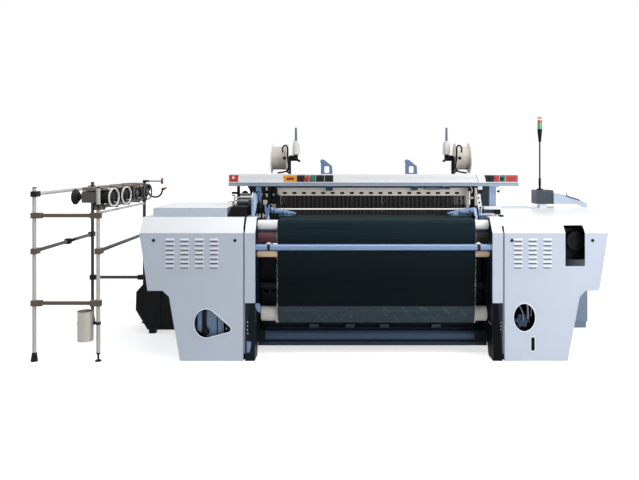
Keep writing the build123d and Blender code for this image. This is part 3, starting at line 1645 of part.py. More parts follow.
# Stand fittings: clamps at the joints, cone feet and screw feet, caps, a lever clamp and the thread bracket
clamp_size = 56
clamp_height = 50
cap_height = 8
lever_y = 700
with BuildPart() as stand_fittings:
    for tube_y, tube_z in cross_tubes:
        for post_x in (stand_left_x, stand_right_x):
            with BuildSketch(Plane.XY.offset(tube_z - clamp_height / 2)):
                with Locations((post_x + (22 if post_x == stand_left_x else -22), tube_y)):
                    RectangleRounded(clamp_size + 44, clamp_size, 12)
            extrude(amount=clamp_height)
    for post_x, tube_z in deep_tubes:
        for post_y, reach in ((0, 22), (stand_rear_y, -22)):
            with BuildSketch(Plane.XY.offset(tube_z - clamp_height / 2)):
                with Locations((post_x, post_y + reach)):
                    RectangleRounded(clamp_size, clamp_size + 44, 12)
            extrude(amount=clamp_height)
    for post_x in (stand_left_x, stand_right_x):
        for post_y in (0, stand_rear_y):
            with BuildSketch(Plane.XY.offset(post_top_z)):
                with Locations((post_x, post_y)):
                    Circle(post_r + 2)
            extrude(amount=cap_height)
    for post_y in (0, stand_rear_y):
        with BuildSketch(Plane.XY):
            with Locations((stand_left_x, post_y)):
                Circle(32)
        with BuildSketch(Plane.XY.offset(foot_height)):
            with Locations((stand_left_x, post_y)):
                Circle(post_r + 3)
        loft()
        with BuildSketch(Plane.XY):
            with Locations((stand_right_x, post_y)):
                Circle(28)
        extrude(amount=10)
        with BuildSketch(Plane.XY.offset(10)):
            with Locations((stand_right_x, post_y)):
                Circle(9)
        extrude(amount=foot_height - 24)
        with BuildSketch(Plane.XY.offset(foot_height - 14)):
            with Locations((stand_right_x, post_y)):
                Circle(post_r)
        extrude(amount=14)
    with BuildSketch(facing(lever_y)):
        with Locations((stand_left_x, mid_rail_z)):
            RectangleRounded(clamp_size, clamp_size, 12)
    extrude(amount=-clamp_size)
    with BuildSketch(facing(lever_y + 14)):
        with Locations((stand_left_x + 46, mid_rail_z + 12)):
            SlotOverall(80, 20, rotation=20)
    extrude(amount=-16)
    with BuildSketch(Plane.XY.offset(post_top_z + cap_height)):
        with Locations((stand_right_x + 18, stand_rear_y)):
            RectangleRounded(60, 44, 8)
    extrude(amount=22)
    with BuildSketch(Plane.XY.offset(post_top_z + cap_height + 4)):
        with Locations((stand_right_x + 120, stand_rear_y)):
            Rectangle(180, 16)
    extrude(amount=12)
    with BuildSketch(Plane.XY.offset(post_top_z + cap_height - 20)):
        with Locations((stand_right_x + 200, stand_rear_y)):
            Circle(12)
    extrude(amount=62)
    add(stand_tubes.part, mode=Mode.SUBTRACT)
save(stand_fittings.part, "stand_fittings")

# Waste can: an open tin strapped to the right front post of the stand
can_x = -2628
can_y = 8
can_r = 70
can_wall = 1.5
can_low_z = 187
can_high_z = 455
strap_z = 334
strap_height = 24
with BuildPart() as waste_can:
    with BuildSketch(Plane.XY.offset(can_low_z)):
        with Locations((can_x, can_y)):
            Circle(can_r)
    extrude(amount=can_high_z - can_low_z)
    with BuildSketch(Plane.XY.offset(can_high_z - 6)):
        with Locations((can_x, can_y)):
            Circle(can_r + 2.5)
    extrude(amount=6)
    with BuildSketch(Plane.XY.offset(strap_z)):
        with Locations((can_x, can_y)):
            Circle(can_r + 3)
        with Locations(((can_x + stand_right_x) / 2, can_y / 2)):
            Rectangle(stand_right_x - can_x, 20)
        with Locations((stand_right_x, 0)):
            Circle(post_r + 5)
    extrude(amount=strap_height)
    with BuildSketch(facing(can_y - can_r)):
        with Locations((can_x, strap_z + strap_height / 2)):
            RegularPolygon(9, 6)
    extrude(amount=9)
    with BuildSketch(Plane.XY.offset(can_low_z + can_wall)):
        with Locations((can_x, can_y)):
            Circle(can_r - can_wall)
    extrude(amount=can_high_z - can_low_z, mode=Mode.SUBTRACT)
    with BuildSketch(Plane.XY.offset(strap_z)):
        with Locations((stand_right_x, 0)):
            Circle(post_r)
    extrude(amount=strap_height, mode=Mode.SUBTRACT)
save(waste_can.part, "waste_can")

# Weft feeders: each on a clamp on the feeder tube, its axis turned a little towards the weaver
feeder_z = 1487
feeder_body_r = 54
feeder_drum_r = 60
feeder_ring_r = 86
feeder_spindle_r = 14
disc_r = 66
disc_wall = 12
disc_play = 3
disc_at = 0
body_at = disc_at - disc_play
drum_at = disc_at + disc_wall + disc_play
drum_length = 84
ring_at = drum_at + drum_length + 14
feeder_arm_z = feeder_ring_r - 6


def feeder_plane(feeder_y, along):
    # Across the feeder's axis at a distance along it from the feeder tube, with its own Y straight up
    turn = radians(feeder_turn)
    plane = Plane(
        origin=(stand_right_x, feeder_y, feeder_z),
        x_dir=(-sin(turn), cos(turn), 0),
        z_dir=(cos(turn), sin(turn), 0),
    )
    return plane.offset(along)


with BuildPart() as feeder_bodies:
    for feeder_y in feeder_ys:
        with BuildSketch(feeder_plane(feeder_y, -276)):
            Circle(74)
        with BuildSketch(feeder_plane(feeder_y, -236)):
            Circle(34)
        loft()
        with BuildSketch(feeder_plane(feeder_y, -276)):
            Circle(66)
        with BuildSketch(feeder_plane(feeder_y, -244)):
            Circle(28)
        loft(mode=Mode.SUBTRACT)
        with BuildSketch(feeder_plane(feeder_y, -240)):
            Circle(22)
        extrude(amount=70)
        with BuildSketch(feeder_plane(feeder_y, -180)):
            RectangleRounded(2 * feeder_body_r, 2 * feeder_body_r, 26)
        extrude(amount=body_at + 180)
        with BuildSketch(feeder_plane(feeder_y, body_at)):
            Circle(feeder_spindle_r)
        extrude(amount=drum_at - body_at)
        with BuildSketch(feeder_plane(feeder_y, drum_at)):
            Circle(feeder_drum_r)
        extrude(amount=drum_length)
        with BuildSketch(feeder_plane(feeder_y, drum_at + drum_length)):
            Circle(feeder_drum_r - 8)
        with BuildSketch(feeder_plane(feeder_y, drum_at + drum_length + 20)):
            Circle(18)
        loft()
        with BuildSketch(feeder_plane(feeder_y, ring_at)):
            Circle(feeder_ring_r)
            Circle(feeder_ring_r - 9, mode=Mode.SUBTRACT)
        extrude(amount=12)
        with BuildSketch(feeder_plane(feeder_y, -120)):
            with Locations((-30, feeder_arm_z), (30, feeder_arm_z)):
                Rectangle(9, 12)
        extrude(amount=ring_at + 126)
        with BuildSketch(feeder_plane(feeder_y, -120)):
            with Locations((0, feeder_body_r + 12)):
                Rectangle(69, 40)
        extrude(amount=30)
        with BuildSketch(Plane.XY.offset(feeder_rail_z - 30)):
            with Locations((stand_right_x - 30, feeder_y)):
                RectangleRounded(104, 44, 8)
        extrude(amount=46)
        with BuildSketch(Plane.XY.offset(feeder_rail_z + 16)):
            with Locations((stand_right_x - 55, feeder_y)):
                RectangleRounded(54, 44, 8)
        extrude(amount=24)
        with BuildSketch(facing(feeder_y - 30)):
            with Locations((stand_right_x, feeder_rail_z)):
                Circle(post_r)
        extrude(amount=-60, mode=Mode.SUBTRACT)
save(feeder_bodies.part, "feeder_bodies")
for number, feeder_y in enumerate(feeder_ys):
    with BuildPart() as feeder_disc:
        with BuildSketch(feeder_plane(feeder_y, disc_at)):
            Circle(disc_r)
            with Locations((0, disc_r - 9)):
                Circle(4, mode=Mode.SUBTRACT)
        extrude(amount=disc_wall)
        chamfer(feeder_disc.edges().filter_by(GeomType.CIRCLE).sort_by(SortBy.RADIUS)[-2:], 3)
        with BuildSketch(feeder_plane(feeder_y, disc_at)):
            Circle(feeder_spindle_r + journal_play)
        extrude(amount=disc_wall, mode=Mode.SUBTRACT)
    save(feeder_disc.part, "feeder_disc_" + str(number + 1))
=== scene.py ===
import math

import bmesh
import bpy
import numpy as np
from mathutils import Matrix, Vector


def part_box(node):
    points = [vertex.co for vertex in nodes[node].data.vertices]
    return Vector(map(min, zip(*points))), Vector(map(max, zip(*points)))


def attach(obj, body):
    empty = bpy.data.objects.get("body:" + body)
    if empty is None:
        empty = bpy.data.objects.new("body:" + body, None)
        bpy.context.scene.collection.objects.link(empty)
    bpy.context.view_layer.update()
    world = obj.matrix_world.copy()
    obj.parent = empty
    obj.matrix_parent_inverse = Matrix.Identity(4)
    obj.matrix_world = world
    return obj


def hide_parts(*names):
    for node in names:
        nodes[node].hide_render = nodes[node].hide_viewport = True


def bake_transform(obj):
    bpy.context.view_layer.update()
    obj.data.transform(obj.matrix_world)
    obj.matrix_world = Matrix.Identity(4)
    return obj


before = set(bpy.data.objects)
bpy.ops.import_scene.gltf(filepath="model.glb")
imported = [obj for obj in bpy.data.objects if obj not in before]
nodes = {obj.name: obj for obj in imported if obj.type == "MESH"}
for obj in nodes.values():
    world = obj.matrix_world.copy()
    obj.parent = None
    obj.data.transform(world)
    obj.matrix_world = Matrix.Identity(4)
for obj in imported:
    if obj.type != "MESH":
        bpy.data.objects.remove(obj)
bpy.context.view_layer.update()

print("frame loaded")

# Camera and studio
camera = {
    "place": (-0.309, -5.87, 1.829), "lens": 36.34, "shiftX": -0.032, "shiftY": -0.125, "middle": (340, 160),
    "pixels": 645
}
studio = {
    "floorTone": (0.9, 0.9, 0.9), "floorGlow": 0.68, "glowReach": (3.2, 8.0), "keyPower": 20, "fillPower": 125,
    "topPower": 220, "rearPower": 50, "worldStrength": 0.25
}


def spot(px, py, depth):
    # The point at a depth, in metres, that the camera sees at a pixel of its 639 x 480 view
    left, front, high = camera["place"]
    pixel = (depth - front) / camera["pixels"]
    return np.array([
        left + (px - camera["middle"][0]) * pixel, depth, high - (py - camera["middle"][1]) * pixel
    ])


def placeCamera():
    data = bpy.data.cameras.new("photoCamera")
    data.lens = camera["lens"]
    data.sensor_width = 36
    data.shift_x = camera["shiftX"]
    data.shift_y = camera["shiftY"]
    data.clip_end = 60
    view = bpy.data.objects.new("photoCamera", data)
    view.location = camera["place"]
    view.rotation_euler = (math.pi / 2, 0, 0)
    bpy.context.scene.collection.objects.link(view)
    bpy.context.scene.camera = view


def areaLight(name, place, target, size, power):
    data = bpy.data.lights.new(name, "AREA")
    data.energy = power
    data.shape = "RECTANGLE"
    data.size, data.size_y = size
    lamp = bpy.data.objects.new(name, data)
    lamp.location = place
    aim = np.array(target) - np.array(place)
    flat = math.hypot(aim[0], aim[1])
    lamp.rotation_euler = (math.pi / 2 + math.atan2(aim[2], flat), 0, math.atan2(aim[1], aim[0]) - math.pi / 2)
    bpy.context.scene.collection.objects.link(lamp)


def seenRay(tree):
    # 1 for rays from the camera and for those that gloss and glass send on, 0 for rays that light the object
    path = tree.nodes.new("ShaderNodeLightPath")
    seen = path.outputs["Is Camera Ray"]
    for label in ("Is Glossy Ray", "Is Transmission Ray"):
        either = tree.nodes.new("ShaderNodeMath")
        either.operation = "MAXIMUM"
        tree.links.new(seen, either.inputs[0])
        tree.links.new(path.outputs[label], either.inputs[1])
        seen = either.outputs[0]
    return seen


def buildWorld():
    world = bpy.data.worlds.new("studioWorld")
    world.use_nodes = True
    tree = world.node_tree
    back = tree.nodes["Background"]
    back.inputs["Color"].default_value = (1, 1, 1, 1)
    mix = tree.nodes.new("ShaderNodeMix")
    mix.inputs[2].default_value = studio["worldStrength"]
    mix.inputs[3].default_value = 1.0
    tree.links.new(seenRay(tree), mix.inputs[0])
    tree.links.new(mix.outputs[0], back.inputs["Strength"])
    bpy.context.scene.world = world


def buildFloor():
    # A pale floor that glows a little to the camera, more with distance, so that it runs into the white
    # backdrop and still keeps the object's shadow
    mesh = bpy.data.meshes.new("studioFloor")
    half = 40
    mesh.from_pydata([
        (-half, -half, 0), (half, -half, 0), (half, half, 0), (-half, half, 0)
    ], [], [(0, 1, 2, 3)])
    floor = bpy.data.objects.new("studioFloor", mesh)
    bpy.context.scene.collection.objects.link(floor)
    skin = bpy.data.materials.new("studioFloor")
    skin.use_nodes = True
    tree = skin.node_tree
    shader = tree.nodes["Principled BSDF"]
    shader.inputs["Base Color"].default_value = (*studio["floorTone"], 1)
    shader.inputs["Roughness"].default_value = 0.9
    shader.inputs["Specular IOR Level"].default_value = 0.0
    shader.inputs["Emission Color"].default_value = (1, 1, 1, 1)
    coords = tree.nodes.new("ShaderNodeTexCoord")
    away = tree.nodes.new("ShaderNodeVectorMath")
    away.operation = "LENGTH"
    tree.links.new(coords.outputs["Object"], away.inputs[0])
    near, far = studio["glowReach"]
    glow = addRange(tree, away.outputs["Value"], near, far, studio["floorGlow"], 1.0)
    tree.links.new(addMath(tree, "MULTIPLY", glow, seenRay(tree)), shader.inputs["Emission Strength"])
    floor.data.materials.append(skin)


def buildStudio():
    areaLight("keyLight", (-4.5, -6.0, 5.0), (0, 0.5, 0.8), (4, 3), studio["keyPower"])
    areaLight("fillLight", (4.2, -3.4, 2.4), (0, 0.5, 0.8), (3, 2.4), studio["fillPower"])
    areaLight("topLight", (0.5, -0.6, 6.0), (0, 0.5, 0.8), (6, 4), studio["topPower"])
    areaLight("rearLight", (1.5, 7.0, 4.0), (0, 0.8, 0.8), (4, 3), studio["rearPower"])
    buildWorld()
    buildFloor()
    bpy.context.scene.view_settings.view_transform = "Standard"


# Shader groups shared by the finishes
def newGroup(name, inputs, outputs):
    group = bpy.data.node_groups.new(name, "ShaderNodeTree")
    for label, kind, value in inputs:
        socket = group.interface.new_socket(label, in_out="INPUT", socket_type="NodeSocket" + kind)
        socket.default_value = value
    for label, kind in outputs:
        group.interface.new_socket(label, in_out="OUTPUT", socket_type="NodeSocket" + kind)
    return group, group.nodes.new("NodeGroupInput"), group.nodes.new("NodeGroupOutput")


def addMath(tree, operation, first, second, clamp=False):
    node = tree.nodes.new("ShaderNodeMath")
    node.operation = operation
    node.use_clamp = clamp
    for socket, value in zip(node.inputs, (first, second)):
        if isinstance(value, (int, float)):
            socket.default_value = value
        else:
            tree.links.new(value, socket)
    return node.outputs[0]


def addNoise(tree, vector, scale, detail=3.0, rough=0.55):
    node = tree.nodes.new("ShaderNodeTexNoise")
    node.inputs["Detail"].default_value = detail
    node.inputs["Roughness"].default_value = rough
    tree.links.new(vector, node.inputs["Vector"])
    if isinstance(scale, (int, float)):
        node.inputs["Scale"].default_value = scale
    else:
        tree.links.new(scale, node.inputs["Scale"])
    return node.outputs["Fac"]


def addStretch(tree, vector, scale):
    node = tree.nodes.new("ShaderNodeMapping")
    node.inputs["Scale"].default_value = scale
    tree.links.new(vector, node.inputs["Vector"])
    return node.outputs["Vector"]


def addBlend(tree, factor, first, second):
    node = tree.nodes.new("ShaderNodeMix")
    node.data_type = "RGBA"
    for socket, value in ((node.inputs[0], factor), (node.inputs[6], first), (node.inputs[7], second)):
        if isinstance(value, (int, float)):
            socket.default_value = value
        elif isinstance(value, tuple):
            socket.default_value = (*value, 1)
        else:
            tree.links.new(value, socket)
    return node.outputs[2]


def addRange(tree, value, low, high, outLow=0.0, outHigh=1.0):
    node = tree.nodes.new("ShaderNodeMapRange")
    tree.links.new(value, node.inputs["Value"])
    for label, number in (("From Min", low), ("From Max", high), ("To Min", outLow), ("To Max", outHigh)):
        node.inputs[label].default_value = number
    return node.outputs["Result"]


placeCamera()
buildStudio()
print("studio ready")


def paintGroup():
    # Paint: large soft mottle, dust where faces look up, small chips, and orange peel as height
    group, entry, leave = newGroup("paintSkin", [
        ("Vector", "Vector", (0, 0, 0)), ("Color", "Color", (1, 1, 1, 1)),
        ("Bare", "Color", (0.2, 0.2, 0.2, 1)), ("Mottle", "Float", 0.06), ("Dust", "Float", 0.1),
        ("Chips", "Float", 0.2), ("Rough", "Float", 0.4)
    ], [("Color", "Color"), ("Roughness", "Float"), ("Height", "Float")])
    place = entry.outputs["Vector"]
    broad = addNoise(group, place, 2.6, 4)
    middle = addNoise(group, place, 23, 3)
    fine = addNoise(group, place, 420, 2)
    shift = addMath(group, "MULTIPLY", addMath(group, "SUBTRACT", broad, 0.5), entry.outputs["Mottle"])
    shade = group.nodes.new("ShaderNodeHueSaturation")
    group.links.new(entry.outputs["Color"], shade.inputs["Color"])
    group.links.new(addMath(group, "ADD", shift, 1.0), shade.inputs["Value"])
    facing = group.nodes.new("ShaderNodeNewGeometry")
    split = group.nodes.new("ShaderNodeSeparateXYZ")
    group.links.new(facing.outputs["Normal"], split.inputs[0])
    upward = addRange(group, split.outputs["Z"], 0.5, 1.0)
    dustMask = addMath(group, "MULTIPLY", addMath(group, "MULTIPLY", upward, middle), entry.outputs["Dust"])
    dusty = addBlend(group, dustMask, shade.outputs["Color"], (0.42, 0.41, 0.39))
    chipEdge = addRange(group, addNoise(group, place, 64, 5, 0.7), 0.70, 0.74)
    chipArea = addRange(group, addNoise(group, place, 5, 2), 0.52, 0.62)
    chip = addMath(group, "MULTIPLY", addMath(group, "MULTIPLY", chipEdge, chipArea), entry.outputs["Chips"])
    group.links.new(addBlend(group, chip, dusty, entry.outputs["Bare"]), leave.inputs["Color"])
    roughShift = addRange(group, middle, 0.3, 0.7, -0.06, 0.08)
    group.links.new(addMath(group, "ADD", entry.outputs["Rough"], roughShift, True), leave.inputs["Roughness"])
    peel = addMath(group, "MULTIPLY", fine, 0.35)
    group.links.new(addMath(
        group, "SUBTRACT", peel, addMath(group, "MULTIPLY", chip, 0.8)
    ), leave.inputs["Height"])
    return group


def metalGroup():
    # Metal: long brushed streaks, faint smudges and small pits
    group, entry, leave = newGroup("metalSkin", [
        ("Vector", "Vector", (0, 0, 0)), ("Color", "Color", (0.6, 0.6, 0.6, 1)),
        ("Tarnish", "Color", (0.2, 0.18, 0.16, 1)), ("Age", "Float", 0.2), ("Rough", "Float", 0.35)
    ], [("Color", "Color"), ("Roughness", "Float"), ("Height", "Float")])
    place = entry.outputs["Vector"]
    streak = addNoise(group, place, 300, 3)
    smudge = addNoise(group, place, 9, 4)
    pits = addRange(group, addNoise(group, place, 160, 2), 0.66, 0.75)
    stain = addMath(group, "MULTIPLY", addRange(group, smudge, 0.45, 0.75), entry.outputs["Age"])
    toned = addBlend(group, stain, entry.outputs["Color"], entry.outputs["Tarnish"])
    lined = addBlend(group, addRange(group, streak, 0.3, 0.7, 0.0, 0.12), toned, (0.04, 0.04, 0.04))
    group.links.new(lined, leave.inputs["Color"])
    spread = addRange(group, smudge, 0.3, 0.7, -0.05, 0.12)
    group.links.new(addMath(group, "ADD", entry.outputs["Rough"], spread, True), leave.inputs["Roughness"])
    group.links.new(addMath(
        group, "SUBTRACT", addMath(group, "MULTIPLY", streak, 0.3), pits
    ), leave.inputs["Height"])
    return group


def weaveGroup():
    # Weave: warp and weft rounded threads that cross over and under, on a pattern laid in metres
    group, entry, leave = newGroup("weaveSkin", [
        ("Vector", "Vector", (0, 0, 0)), ("Warp", "Color", (0, 0, 0, 1)), ("Weft", "Color", (0, 0, 0, 1)),
        ("Threads", "Float", 900.0), ("Slub", "Float", 0.3), ("Fade", "Float", 0.0)
    ], [("Color", "Color"), ("Roughness", "Float"), ("Height", "Float")])
    split = group.nodes.new("ShaderNodeSeparateXYZ")
    group.links.new(entry.outputs["Vector"], split.inputs[0])
    turns = addMath(group, "MULTIPLY", entry.outputs["Threads"], math.pi)
    sineX = addMath(group, "SINE", addMath(group, "MULTIPLY", split.outputs["X"], turns), 0)
    sineY = addMath(group, "SINE", addMath(group, "MULTIPLY", split.outputs["Y"], turns), 0)
    over = addRange(group, addMath(group, "MULTIPLY", sineX, sineY), -0.2, 0.2)
    slub = addNoise(group, addStretch(group, entry.outputs["Vector"], (1, 30, 1)), 40, 3)
    bar = addNoise(group, addStretch(group, entry.outputs["Vector"], (0.2, 9, 1)), 6, 2)
    base = addBlend(group, over, entry.outputs["Warp"], entry.outputs["Weft"])
    tone = addMath(group, "MULTIPLY", addMath(
        group, "SUBTRACT", addMath(group, "ADD", slub, bar), 1.0
    ), entry.outputs["Slub"])
    shade = group.nodes.new("ShaderNodeHueSaturation")
    group.links.new(base, shade.inputs["Color"])
    # Painted shade along the cloth: lighter up to 0.25 m from the fell, darker past 0.85 m, as the light falls
    # off towards the roll
    paintedShade = addMath(group, "MULTIPLY", addRange(
        group, split.outputs["Y"], 0.25, 0.85, 1.0, -1.0
    ), entry.outputs["Fade"])
    group.links.new(addMath(
        group, "MULTIPLY", addMath(group, "ADD", tone, 1.0), addMath(group, "ADD", paintedShade, 1.0)
    ), shade.inputs["Value"])
    group.links.new(shade.outputs["Color"], leave.inputs["Color"])
    group.links.new(addRange(group, slub, 0.3, 0.7, 0.72, 0.9), leave.inputs["Roughness"])
    ridge = addMath(group, "ABSOLUTE", addMath(group, "MULTIPLY", sineX, sineY), 0)
    group.links.new(ridge, leave.inputs["Height"])
    return group


groups = {"paint": paintGroup(), "metal": metalGroup(), "weave": weaveGroup()}


def newMaterial(name, groupName, values, shaderValues, bump=0.05, bumpDistance=0.0006, stretch=None,
                useUv=False):
    # A material with one shared group feeding a Principled shader that stays in the material
    skin = bpy.data.materials.new(name)
    skin.use_nodes = True
    tree = skin.node_tree
    shader = tree.nodes["Principled BSDF"]
    coords = tree.nodes.new("ShaderNodeTexCoord")
    vector = coords.outputs["UV" if useUv else "Object"]
    if stretch:
        vector = addStretch(tree, vector, stretch)
    group = tree.nodes.new("ShaderNodeGroup")
    group.node_tree = groups[groupName]
    tree.links.new(vector, group.inputs["Vector"])
    for label, value in values.items():
        group.inputs[label].default_value = (*value, 1) if isinstance(value, tuple) else value
    tree.links.new(group.outputs["Color"], shader.inputs["Base Color"])
    tree.links.new(group.outputs["Roughness"], shader.inputs["Roughness"])
    ripple = tree.nodes.new("ShaderNodeBump")
    ripple.inputs["Strength"].default_value = bump
    ripple.inputs["Distance"].default_value = bumpDistance
    tree.links.new(group.outputs["Height"], ripple.inputs["Height"])
    tree.links.new(ripple.outputs["Normal"], shader.inputs["Normal"])
    for label, value in shaderValues.items():
        shader.inputs[label].default_value = value
    return skin


def linear(red, green, blue):
    # sRGB bytes to linear values
    parts = (red / 255, green / 255, blue / 255)
    return tuple(part / 12.92 if part <= 0.04045 else ((part + 0.055) / 1.055) ** 2.4 for part in parts)


def paint(name, colour, rough=0.38, mottle=0.08, dust=0.12, chips=0.25, bare=(0.12, 0.12, 0.12),
          metallic=0.0, coat=0.15, gloss=0.5):
    # Colour in sRGB bytes
    return newMaterial(
        name, "paint",
        {
            "Color": linear(*colour), "Bare": bare, "Mottle": mottle, "Dust": dust, "Chips": chips,
            "Rough": rough
        },
        {"Metallic": metallic, "Coat Weight": coat, "Coat Roughness": 0.25, "Specular IOR Level": gloss},
        bump=0.12
    )


def metal(name, colour, rough=0.3, age=0.2, stretch=(1, 1, 1), tarnish=(0.16, 0.14, 0.12)):
    return newMaterial(
        name, "metal", {"Color": linear(*colour), "Tarnish": tarnish, "Age": age, "Rough": rough},
        {"Metallic": 1.0}, bump=0.1, stretch=stretch
    )


finishes = {
    "coverBlue": paint("coverBluePaint", (197, 207, 223), rough=0.34, chips=0.08),
    # A near-white copy of the cover paint: painted light for cover faces and deck strips that face the light
    # from above
    "coverTop": paint("coverLitPaint", (243, 246, 250), rough=0.36, chips=0.05, dust=0.04),
    "stripBlue": paint("stripPaint", (196, 206, 222), rough=0.36, chips=0.15),
    "castBlue": paint("castFramePaint", (26, 36, 48), rough=0.45, chips=0.3, dust=0.06, coat=0.0, gloss=0.12),
    "legDark": paint("legPaint", (13, 21, 27), rough=0.5, chips=0.3, dust=0.05, coat=0.0, gloss=0.1),
    # A darker copy of the leg paint: painted shade for the right leg
    "legShaded": paint("shadedLegPaint", (6, 11, 14), rough=0.55, chips=0.3, dust=0.03, coat=0.0, gloss=0.06),
    "navy": paint("navyPaint", (46, 67, 92), rough=0.4, chips=0.4, dust=0.15, coat=0.05, gloss=0.3),
    "darkNavy": paint("darkNavyPaint", (24, 36, 52), rough=0.42, chips=0.35, dust=0.12, coat=0.0, gloss=0.25),
    "armBlue": paint("armPaint", (108, 137, 182), rough=0.36, chips=0.3),
    "paleBlue": paint("paleBluePaint", (168, 192, 225), rough=0.36, chips=0.15),
    "white": paint("whitePaint", (250, 251, 253), rough=0.35, chips=0.04, dust=0.04),
    "black": paint(
        "blackPaint", (12, 15, 19), rough=0.42, chips=0.3, dust=0.04, bare=(0.2, 0.2, 0.2), coat=0.0, gloss=0.12
    ),
    "blackMatt": paint("blackPlastic", (16, 18, 21), rough=0.55, chips=0.0, dust=0.1, coat=0.0, gloss=0.2),
    "cabinet": paint("cabinetPaint", (124, 140, 161), rough=0.42, chips=0.15),
    "terminal": paint("terminalShell", (50, 62, 76), rough=0.5, chips=0.0, coat=0.0),
    "screen": paint(
        "terminalScreen", (52, 62, 74), rough=0.3, chips=0.0, mottle=0.05, dust=0.05, coat=0.0, gloss=0.25
    ),
    "postWhite": paint("postWhitePaint", (206, 204, 198), rough=0.45, chips=0.6, bare=(0.12, 0.1, 0.08)),
    "postBeige": paint("postBeigePaint", (202, 195, 187), rough=0.5, chips=0.6, bare=(0.16, 0.13, 0.1)),
    "postDark": paint("postDarkPaint", (52, 50, 50), rough=0.5, chips=0.5, bare=(0.25, 0.22, 0.19)),
    "railBrown": paint("railBrownPaint", (88, 74, 61), rough=0.55, chips=0.5, bare=(0.25, 0.2, 0.15)),
    "rollerWhite": paint("rollerWhiteCover", (246, 247, 248), rough=0.45, chips=0.0, dust=0.05, coat=0.0),
    "rollerTan": paint("rollerTanCover", (230, 203, 170), rough=0.6, chips=0.1, mottle=0.2, coat=0.0),
    "core": paint(
        "corePaint", (216, 212, 205), rough=0.5, chips=0.5, mottle=0.25, bare=(0.12, 0.1, 0.08), coat=0.0
    ),
    "orange": paint("orangePlastic", (226, 110, 36), rough=0.35, chips=0.0),
    "red": paint("redPlastic", (196, 34, 32), rough=0.35, chips=0.0),
    "reelWhite": paint("reelPlastic", (246, 244, 240), rough=0.45, chips=0.0, dust=0.08, coat=0.0),
    "tubeBlue": paint("guardTubePaint", (124, 152, 196), rough=0.22, chips=0.15, coat=0.5),
    "boxBlue": paint("topBoxPaint", (204, 214, 229), rough=0.3, chips=0.1),
    "wedge": paint("wedgePaint", (180, 192, 213), rough=0.3, chips=0.1),
    "amber": paint("amberLens", (226, 132, 40), rough=0.15, chips=0.0, coat=0.5),
    "redLens": paint("redLens", (214, 46, 36), rough=0.15, chips=0.0, coat=0.5),
    "greenLens": paint("greenLens", (46, 170, 96), rough=0.15, chips=0.0, coat=0.5),
    "windowBlue": paint("windowSheets", (112, 140, 172), rough=0.4, chips=0.3, mottle=0.3),
    "reelTube": paint("reelTubePlastic", (222, 221, 218), rough=0.35, chips=0.1, mottle=0.15),
    # Pale blue painted shade for the rear of the right deck
    "shadeBlue": paint("rearDeckShadePaint", (178, 192, 216), rough=0.4, chips=0.1),
    "feederTop": paint("feederTopShell", (112, 105, 97), rough=0.5, chips=0.2),
    # Blue-grey painted shade for the underside of the white sign beam
    "beamUnderShade": paint("beamUnderShadePaint", (164, 180, 204), rough=0.3, chips=0.1),
    "fieldGrey": paint("fieldPaint", (244, 248, 253), rough=0.3, chips=0.0, mottle=0.03),
    "capGrey": paint("reedCapPaint", (253, 252, 249), rough=0.16, chips=0.0, mottle=0.02, metallic=0.92),
    "stave": paint("stavePaint", (222, 216, 206), rough=0.38, chips=0.15, mottle=0.12, metallic=0.15),
    # Near-black paints used as painted shade inside the machine, in its holes and behind slots
    "innerNavy": paint("shadeNavyPaint", (17, 25, 34), rough=0.5, chips=0.2, dust=0.1, coat=0.0, gloss=0.15),
    "innerBlack": paint("shadeBlackPaint", (8, 10, 12), rough=0.6, chips=0.1, dust=0.05, coat=0.0, gloss=0.1),
    "greyMetal": paint("greyCasting", (104, 112, 122), rough=0.36, chips=0.3, metallic=0.4),
    "cream": paint("creamPlastic", (214, 202, 184), rough=0.5, chips=0.0, coat=0.0),
    "maroon": paint("maroonCover", (84, 42, 46), rough=0.55, chips=0.0, mottle=0.2, coat=0.0),
    "umber": paint("umberCover", (34, 29, 28), rough=0.55, chips=0.0, mottle=0.2, coat=0.0, gloss=0.2),
    "plateRed": paint("redPlate", (196, 40, 38), rough=0.3, chips=0.0),
    "plateAmber": paint("amberPlate", (240, 160, 40), rough=0.3, chips=0.0),
    "plateGreen": paint("greenPlate", (38, 120, 96), rough=0.3, chips=0.0),
    "plateBlack": paint("blackPlate", (17, 21, 25), rough=0.25, chips=0.0, dust=0.05, gloss=0.25),
    "darkRed": paint("darkRedMark", (110, 26, 24), rough=0.35, chips=0.0),
    "greenButton": paint("greenPlastic", (36, 140, 96), rough=0.3, chips=0.0),
    "yarnBrown": paint("brownYarn", (208, 201, 192), rough=0.85, chips=0.0, mottle=0.5, coat=0.0),
    "feederBody": paint("feederShell", (78, 72, 65), rough=0.45, chips=0.05, coat=0.1),
    "tin": paint(
        "tinSheet", (192, 188, 181), rough=0.4, chips=0.2, mottle=0.3, metallic=0.35, bare=(0.1, 0.09, 0.08)
    ),
    "steel": metal("brushedSteel", (176, 178, 180), rough=0.34, age=0.25, stretch=(0.02, 1, 1)),
    "darkSteel": metal("oiledSteel", (92, 92, 94), rough=0.42, age=0.5),
    "chrome": metal("chromedSteel", (214, 216, 219), rough=0.12, age=0.08),
    "aluminium": metal("frameAluminium", (196, 198, 200), rough=0.38, age=0.15, stretch=(0.03, 1, 1))
}


